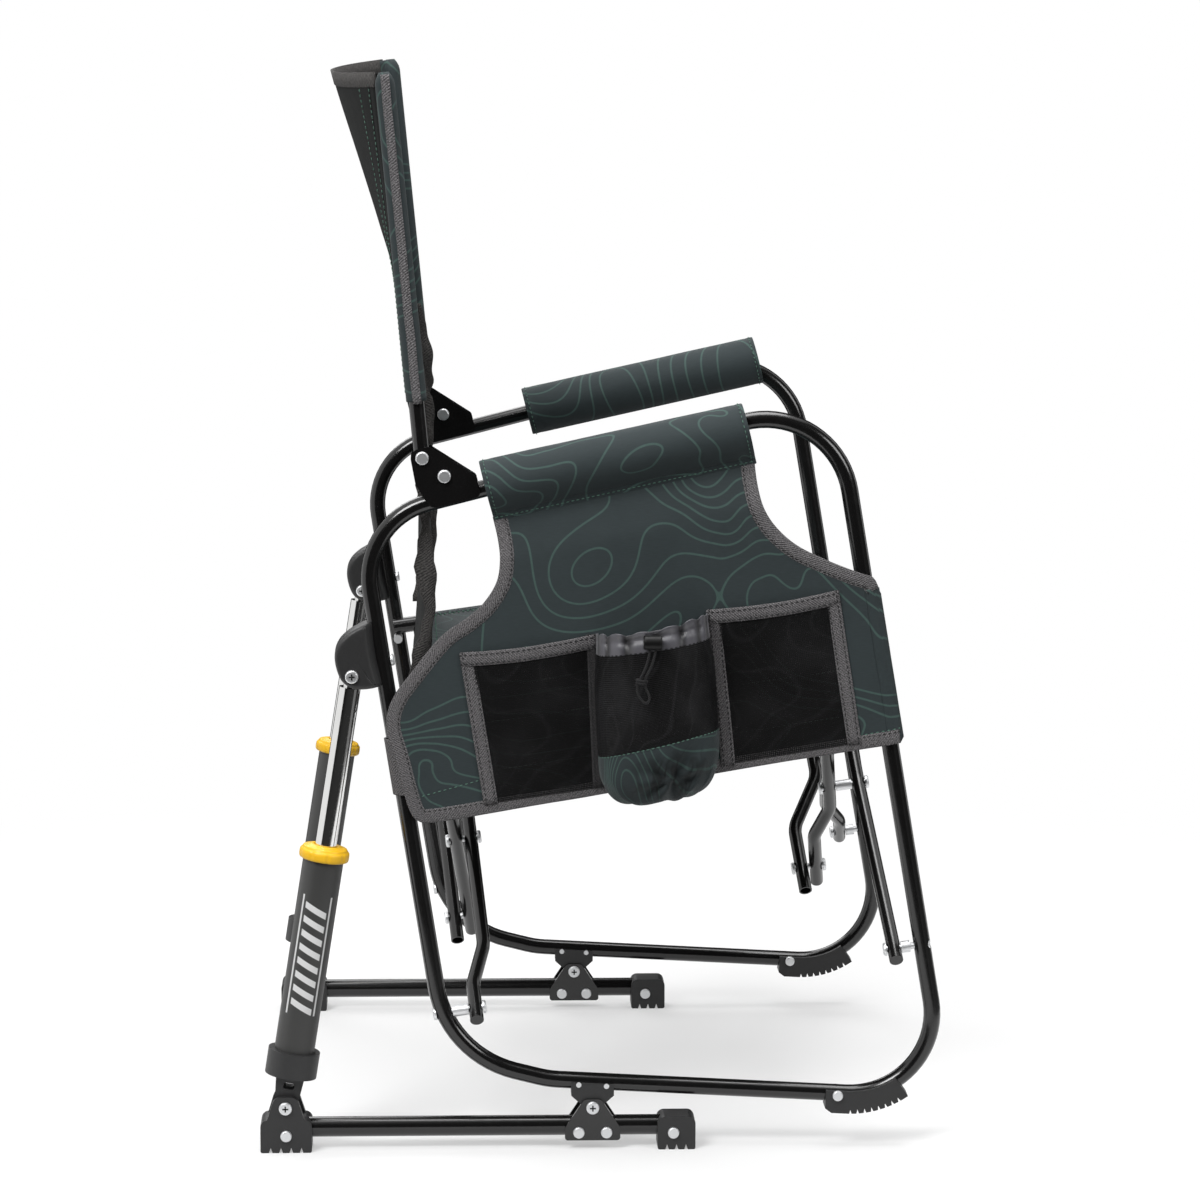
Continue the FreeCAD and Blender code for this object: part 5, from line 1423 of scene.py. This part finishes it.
class CHAIR_OT_seat(bpy.types.Operator):
    """Stretches the seat sling between the rails"""
    bl_idname = "chair.seat"
    bl_label = "Seat sling"

    def execute(self, context):
        size = context.scene.chair_sizes
        hem = 9.1
        start, long, steps = 14.0, 412.0, 66
        across = []
        for k in range(13):
            a = math.radians(-40.0 - 235.0 * k / 12.0)
            across.append((-RAIL_V + hem * math.cos(a), RAIL_W + hem * math.sin(a)))
        under = len(across)
        for k in range(1, 40):
            v = -RAIL_V + 2 * RAIL_V * k / 40.0
            across.append((v, None))
        across += [(-v, w) for v, w in reversed(across[:under])]
        us = [start + long * k / steps for k in range(steps + 1)]
        rows = []
        for u in us:
            row = []
            for v, w in across:
                if w is None:
                    edge = abs(u - start - long / 2) / (long / 2)
                    sag = (22.0 - 5.0 * edge ** 4) * (1.0 - (v / RAIL_V) ** 2)
                    crease = 1.2 * ripple(u * 0.5, v, 60.0, 5.0)
                    crease += 0.4 * math.sin(v / 9.0) * ease(0.86, 1.0, edge)
                    w = RAIL_W + hem - sag + crease * (1.0 - (v / RAIL_V) ** 4)
                row.append(fold(u, v, w))
            rows.append(row)
        waist = rows[steps // 2]
        girth = running((a - b).length for a, b in zip(waist, waist[1:]))
        cols = len(across)

        def strip(name, first, last):
            """The columns from first to last as one piece, notched round the struts' tops."""
            def notch(i, j):
                if under - 4 > j + first or j + first > cols - under + 2:
                    u = (us[i] + us[i + 1]) / 2
                    return any(abs(u - s) < 13.0 for s in STRUT_U)
                return False

            part = lattice(name, [row[first:last + 1] for row in rows],
                           lambda i, j: (us[i], girth[j + first]), ["lining_and_shade", "cloth"], skip=notch)
            soften(part, 1, size.cloth, 1)
            return part

        piece = strip("seat_cloth", under, cols - under - 1)
        hems = [strip("right_seat_hem", 0, under), strip("left_seat_hem", cols - under - 1, cols - 1)]
        for part, body in zip(hems, ("right_struts", "left_struts")):
            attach(part, body)
        lines = []
        for side in (-1, 1):
            for inset in (14.0, 18.0):
                j = min(range(cols), key=lambda k: abs(across[k][0] - side * (RAIL_V - inset)))
                lines.append([Vector((row[j].x, side * (RAIL_V - inset), row[j].z + 0.9))
                              for row in rows])
        for i in (3, steps - 3):
            lines.append([p + Vector((0, 0, 0.9)) for p in rows[i][under:cols - under]])
        seams = sew("seat_stitches", lines, "green_thread", size)
        # The folded web ends over the hems' edges, which turn with the struts
        for part in (piece, seams):
            fold_with(part, "seat")
        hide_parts("seat_sling")
        return {"FINISHED"}


def back_depth(d, y):
    """How far the back sling hollows behind the line of the poles."""
    bow = 9.2 + 0.221 * max(0.0, d - 150.0) * ease(120.0, 200.0, d)
    s = max(0.0, 1.0 - (abs(y) / 271.5) ** 2.4)
    low = 1.0 - ease(10.0, 60.0, d)
    fold_in = 1.4 * ripple(y * 0.4, d, 60.0, 7.0) * s
    return 8.9 + (bow - 9.2) * s ** 0.8 + fold_in - 6.5 * low


class CHAIR_OT_back(bpy.types.Operator):
    """Hangs the back sling on the poles and the curtain below it"""
    bl_idname = "chair.back"
    bl_label = "Back sling"

    def execute(self, context):
        size = context.scene.chair_sizes
        low, top = 52.0, 352.5
        ups = [low + (top - low) * k / 44.0 for k in range(45)]
        web_cols = 56
        rows = []
        for d in ups:
            shut = ease(top - 7.0, top, d)
            r = (8.9 - 0.5 * ease(80.0, 330.0, d)) * (1.0 - 0.55 * shut)
            near = []
            for k in range(21):
                a = math.radians(90.0 + 320.0 * k / 20.0)
                grow_r = r + 0.5 * k / 20.0
                near.append((SIDE + grow_r * math.cos(a), grow_r * math.sin(a)))
            web = []
            for k in range(1, web_cols):
                y = (SIDE + 6.0) + (-2 * SIDE - 12.0) * k / web_cols
                web.append((y, back_depth(d, y)))
            far = [(-y, b) for y, b in reversed(near)]
            rows.append([pole(d, b, y) for y, b in near + web + far])
        level = rows[10]
        girth = running((a - b).length for a, b in zip(level, level[1:]))
        wrap = len(near)
        cols = len(rows[0])

        def strip(name, first, last):
            """The columns from first to last as a piece of their own."""
            part = lattice(name, [row[first:last + 1] for row in rows],
                           lambda i, j: (girth[j + first], ups[i] + 200.0), ["cloth", "lining_and_shade"])
            soften(part, 1, size.cloth, 1)
            return part

        piece = strip("back_cloth", wrap, cols - wrap - 1)
        skirt = self.skirt(size)
        hem = self.top_hem(top)
        right = [strip("right_pole_sleeve", 0, wrap), self.pole_tape(-1), self.facing(-1)]
        left = [strip("left_pole_sleeve", cols - wrap - 1, cols - 1), self.pole_tape(1), self.facing(1)]
        lines = []
        for y in (-238.0, 238.0, -262.0, 262.0):
            lines.append([pole(d, back_depth(d, y) + 0.9, y) for d in range(60, 348, 6)])
        seams = sew("back_stitches", lines, "green_thread", size)
        for part in (piece, skirt, seams, hem):
            fold_with(part, "right_back")
        for body, parts in (("right_back", right), ("left_back", left)):
            for part in parts:
                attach(part, body)
        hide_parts("back_sling")
        self.curtain(size)
        return {"FINISHED"}

    def skirt(self, size):
        """Lower hem of the back cloth, between the brackets, down to the folding axis."""
        ups = [5.5 * k for k in range(11)]
        cols = 48
        ys = [-CLOTH_HALF + 2 * CLOTH_HALF * k / cols for k in range(cols + 1)]
        rows = [[pole(d, back_depth(d, y), y) for y in ys] for d in ups]
        piece = lattice("back_skirt", rows,
                        lambda i, j: (2 * CLOTH_HALF * j / cols + 40.0, 150.0 + ups[i]),
                        ["cloth", "lining_and_shade"])
        soften(piece, 1, size.cloth, 1)
        return piece

    def top_hem(self, top):
        """Binding along the top edge, from pole to pole."""
        cols = 64
        ys = [SIDE + 4.0 + (-2 * SIDE - 8.0) * k / cols for k in range(cols + 1)]
        section = [(1.2, -1.3), (1.2, 1.3), (-12.0, 1.5), (-12.6, 1.0), (-12.6, -1.0), (-12.0, -1.5)]
        rows = [[pole(top + a, back_depth(min(top, top + a), y) + b, y) for a, b in section]
                for y in ys]
        return strand("back_top_binding", rows, lambda i, j: (ys[i] + 300.0, 4.6 * j), "edge_binding_in_shade")

    def pole_tape(self, side):
        """Tape along the outside of a pole's sleeve."""
        rows = []
        ups = [50.0 + 301.0 * k / 60.0 for k in range(61)]
        for d in ups:
            sway = 0.5 * ripple(d, 0.0, 30.0, side)
            row = []
            for b, out in ((-4.6, 8.6), (-4.4, 9.6), (0.0, 10.6), (3.4, 9.9), (3.6, 8.8)):
                row.append(pole(d, b + sway, side * (-SIDE + out)))
            rows.append(row)
        return strand(hand(side) + "_pole_tape", rows, lambda i, j: (ups[i], 2.6 * j), "binding")

    def facing(self, side):
        """Loose bound edge of the back cloth that comes forward inside a pole's foot."""
        ups = [7.0 + 3.0 * k for k in range(32)]
        rows = []
        for d in ups:
            out = ease(4.0, 22.0, d) * (1.0 - ease(52.0, 103.0, d))
            y = side * (263.5 + 1.2 * math.sin(d / 9.0))
            root = back_depth(d, y) - 1.0
            tip = -7.0 - 6.0 * out - 1.5 * math.sin(d / 6.0) * out
            belly = root * 0.5 + tip * 0.5
            spots = ((root, 0.7), (belly, 1.3), (tip + 0.5, 0.9), (tip, 0.0), (tip + 0.5, -0.9),
                     (belly, -1.3), (root, -0.7))
            rows.append([pole(d, b, y + side * a) for b, a in spots])
        return strand(hand(side) + "_back_facing", rows, lambda i, j: (ups[i], 6.0 * j), "edge_binding_in_shade")

    def curtain(self, size):
        """Cloth hanging from the folding axis to the seat's rear edge, bound along both sides."""
        half, drop = CLOTH_HALF, 216.0
        cols, count = 60, 34
        rows = []
        for i in range(count + 1):
            t = i / count
            z = 656.0 - drop * t
            row = []
            for j in range(cols + 1):
                y = -half + 2 * half * j / cols
                s = 1.0 - (y / half) ** 2
                lean = -157.0 + 5.0 * math.sin(math.pi * t) - 6.0 * ease(0.75, 1.0, t)
                bow = 9.0 * s ** 0.5 * math.sin(math.pi * min(1.0, t * 0.9))
                folds = 3.0 * ripple(y * 0.9, z * 0.25, 46.0, 11.0) * ease(0.05, 0.4, t)
                edge = 3.0 * math.sin(z / 24.0) * ease(0.93, 1.0, abs(y) / half) * ease(0.05, 0.2, t)
                row.append(Vector((lean - bow + folds + edge, y, z)))
            rows.append(row)
        piece = lattice("back_curtain_cloth", rows,
                        lambda i, j: (2 * half * j / cols + 2000.0, 900.0 - drop * i / count),
                        ["lining_and_shade", "cloth"])
        soften(piece, 1, size.cloth, 1)
        trims = []
        for side, j in ((-1, 0), (1, cols)):
            tape = []
            for row in rows:
                p = row[j]
                rear = 8.0 + 2.6 * math.sin(p.z / 12.0) + 1.2 * math.sin(p.z / 4.1)
                fore = 6.0 + 2.6 * math.sin(p.z / 17.0 + 1.0) + 0.9 * math.sin(p.z / 5.3)
                bow = 1.6 * math.sin(p.z / 9.0)
                spots = ((-rear, -0.8 + bow), (-rear + 0.6, 1.0 + bow), (0.0, 1.6),
                         (fore - 0.6, 1.0 - bow), (fore, -0.8 - bow), (0.0, -1.4))
                tape.append([p + Vector((a, side * b, 0.0)) for a, b in spots])
            trims.append(strand(hand(side) + "_curtain_tape", tape, lambda i, k: (6.2 * i, 5.0 * k),
                                "edge_binding_in_shade"))
        fold_with(piece, "right_frame")
        for part, body in zip(trims, ("right_frame", "left_frame")):
            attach(part, body)
        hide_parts("back_curtain")


class CHAIR_OT_drives(bpy.types.Operator):
    """Lays dark crosses on the screw heads of both sides, painted shade for their cross slots"""
    bl_idname = "chair.drives"
    bl_label = "Screw drives"

    def execute(self, context):
        length = context.scene.chair_sizes.drive
        base = [(HINGE, 12.1), (PISTON_FOOT, 18.0)]
        loop = [(PISTON_EYE, 16.0)]
        tree = bpy.data.node_groups.get("Screw drive") or drive_tree()
        for side, name in ((-1, "right"), (1, "left")):
            for body, spots in (("base", base), ("frame", loop)):
                points, facing = [], []
                for (x, z), reach in spots:
                    for way in (-1, 1):
                        points.append(place(x, side * -SIDE + way * (reach + 3.2), z))
                        facing.append((0.0, way, 0.0))
                carrier = bpy.data.meshes.new("drives")
                carrier.from_pydata(points, [], [])
                attribute = carrier.attributes.new("facing", "FLOAT_VECTOR", "POINT")
                attribute.data.foreach_set("vector", [c for v in facing for c in v])
                piece = grow("%s_%s_drives" % (name, body), carrier, tree,
                             {"Length": length, "Finish": FINISHES["recess"]})
                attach(piece, "%s_%s" % (name, body))
        return {"FINISHED"}


class CHAIR_OT_stage(bpy.types.Operator):
    """Sets the pale floor, the dark cards, the soft light and the camera"""
    bl_idname = "chair.stage"
    bl_label = "Stage"

    def execute(self, context):
        scene = context.scene
        scene.view_settings.view_transform = "Standard"
        self.floor(scene)
        self.cards(scene)
        self.world(scene)
        self.lights(scene)
        self.camera(scene)
        return {"FINISHED"}

    def floor(self, scene):
        """Pale floor, as bright in the metal as it is to the camera."""
        mesh = bpy.data.meshes.new("floor")
        mesh.from_pydata([(-9, -9, 0), (9, -9, 0), (9, 9, 0), (-9, 9, 0)], [], [(0, 1, 2, 3)])
        piece = bpy.data.objects.new("floor", mesh)
        scene.collection.objects.link(piece)
        f = Finish("pale_floor")
        x, y, _ = f.axes(f.here())
        far = ((x * x + y * y) ** 0.5).ease(0.55, 1.5)
        direct = f.direct()
        pale = tuple(scene.chair_colours.floor)
        f.surface(base_color=f.mix(direct, shade(pale, 0.32), pale), roughness=0.9,
                  specular_ior_level=0.0)
        glow = f.node("Emission", None, {"Color": (1, 1, 1, 1), "Strength": 1.0})
        lit = Value(f, f.shader.outputs[0])
        blend = f.node("MixShader", None, {0: direct * (0.4 + far * 0.6), 1: lit, 2: glow})
        f.tree.links.new(blend.socket, f.tree.nodes["Material Output"].inputs[0])
        mesh.materials.append(f.material)

    def cards(self, scene):
        """Dark studio cards round the chair, with gaps between them, that only gloss shows."""
        profile = [(0.9, 0.003), (8.4, 0.003), (8.4, 1.0), (7.9, 3.0), (6.4, 5.4), (4.4, 7.2)]
        count, steps = len(profile), 16
        # Each card: from and to, in radians from -Y towards +X, and its grey
        cards = {"near_card": (-0.9, 0.675, 0.02), "side_card": (0.675, 1.85, 0.12),
                 "far_card": (2.3, 3.85, 0.02)}
        for name, (start, end, grey) in cards.items():
            turns = [start + (end - start) * k / steps for k in range(steps + 1)]
            points = [(r * math.sin(a), -r * math.cos(a), z) for a in turns for r, z in profile]
            corners = [i * count + j for i in range(steps) for j in range(count - 1)]
            faces = [(k, k + count, k + count + 1, k + 1) for k in corners]
            mesh = bpy.data.meshes.new(name)
            mesh.from_pydata(points, [], faces)
            dull = Finish(name).surface(base_color=(grey, grey, grey), roughness=1.0,
                                        specular_ior_level=0.0)
            mesh.materials.append(dull)
            card = bpy.data.objects.new(name, mesh)
            scene.collection.objects.link(card)
            for ray in ("camera", "diffuse", "shadow", "transmission"):
                setattr(card, "visible_" + ray, False)

    def world(self, scene):
        """White where it is seen; as light, bright above and behind and dim on the camera's side."""
        world = bpy.data.worlds.new("studio")
        scene.world = world
        world.use_nodes = True
        sky = Nodes(world.node_tree)
        back = sky.tree.nodes["Background"]
        _, y, z = sky.axes(sky.node("NewGeometry", out="Incoming"))
        glow = z.ease(0.0, -0.8, 0.025, 0.50) + y.ease(0.0, -0.9, 0.0, 0.24)
        sky.feed(back.inputs["Color"], (1, 1, 1, 1))
        sky.feed(back.inputs["Strength"], sky.node("Mix", None, {0: sky.direct(), 2: glow, 3: 1.0}))

    def lights(self, scene):
        """Four soft lamps turned to the chair's middle."""
        target = Vector((0.0, 0.0, 0.5))
        for name, at, size, power in (("key", (-1.9, -2.7, 3.4), 1.8, 128.0),
                                      ("fill", (2.9, -2.3, 2.0), 1.6, 40.0),
                                      ("back", (-1.0, 3.0, 2.6), 2.4, 45.0),
                                      ("top", (0.2, 0.0, 4.0), 2.4, 85.0)):
            lamp = bpy.data.lights.new(name, "AREA")
            lamp.shape = "DISK"
            lamp.size = size
            lamp.energy = power
            piece = bpy.data.objects.new(name, lamp)
            piece.location = at
            piece.rotation_euler = (target - Vector(at)).to_track_quat("-Z", "Y").to_euler()
            scene.collection.objects.link(piece)

    def camera(self, scene):
        """The fitted camera; its focal length is known in pixels of the picture's width."""
        data = bpy.data.cameras.new("camera")
        sensor, focal, wide = 36.0, 4354.0, 1200.0
        data.sensor_width = sensor
        data.lens = sensor * focal / wide
        data.clip_start = 0.1
        data.clip_end = 100.0
        yaw, pitch, roll = (math.radians(a) for a in (2.152, 8.2607, 0.1584))
        look = Vector((math.sin(yaw) * math.cos(pitch), math.cos(yaw) * math.cos(pitch),
                       -math.sin(pitch)))
        right = Vector((math.cos(yaw), -math.sin(yaw), 0.0))
        up = right.cross(look)
        across = right * math.cos(roll) + up * math.sin(roll)
        above = up * math.cos(roll) - right * math.sin(roll)
        turn = Matrix((across, above, -look)).transposed().to_4x4()
        piece = bpy.data.objects.new("camera", data)
        piece.matrix_world = Matrix.Translation(place(-143.67, -4261.64, 1097.81)) @ turn
        scene.collection.objects.link(piece)
        scene.camera = piece


OPERATORS = (CHAIR_OT_stage, CHAIR_OT_finishes, CHAIR_OT_cord, CHAIR_OT_rings, CHAIR_OT_housings,
             CHAIR_OT_sleeves, CHAIR_OT_panel, CHAIR_OT_pockets, CHAIR_OT_holder, CHAIR_OT_seat,
             CHAIR_OT_back, CHAIR_OT_drives)


class CHAIR_PT_panel(bpy.types.Panel):
    """Lists the chair's sizes, colours and operators"""
    bl_idname = "CHAIR_PT_panel"
    bl_label = "Camp chair"
    bl_space_type = "VIEW_3D"
    bl_region_type = "UI"
    bl_category = "Camp chair"

    def draw(self, context):
        for group in (context.scene.chair_sizes, context.scene.chair_colours):
            for key in group.__annotations__:
                self.layout.prop(group, key)
        for operator in OPERATORS:
            self.layout.operator(operator.bl_idname)


CLASSES = (ChairSizes, ChairColours, *OPERATORS, CHAIR_PT_panel)


def register():
    for cls in CLASSES:
        bpy.utils.register_class(cls)
    bpy.types.Scene.chair_sizes = PointerProperty(type=ChairSizes)
    bpy.types.Scene.chair_colours = PointerProperty(type=ChairColours)


def unregister():
    del bpy.types.Scene.chair_colours
    del bpy.types.Scene.chair_sizes
    for cls in reversed(CLASSES):
        bpy.utils.unregister_class(cls)


def main():
    register()
    bpy.ops.chair.stage()
    bpy.ops.chair.finishes()
    bpy.ops.chair.cord()
    bpy.ops.chair.rings()
    bpy.ops.chair.housings()
    bpy.ops.chair.sleeves()
    bpy.ops.chair.panel()
    bpy.ops.chair.pockets()
    bpy.ops.chair.holder()
    bpy.ops.chair.seat()
    bpy.ops.chair.back()
    bpy.ops.chair.drives()


if __name__ == "__main__":
    main()
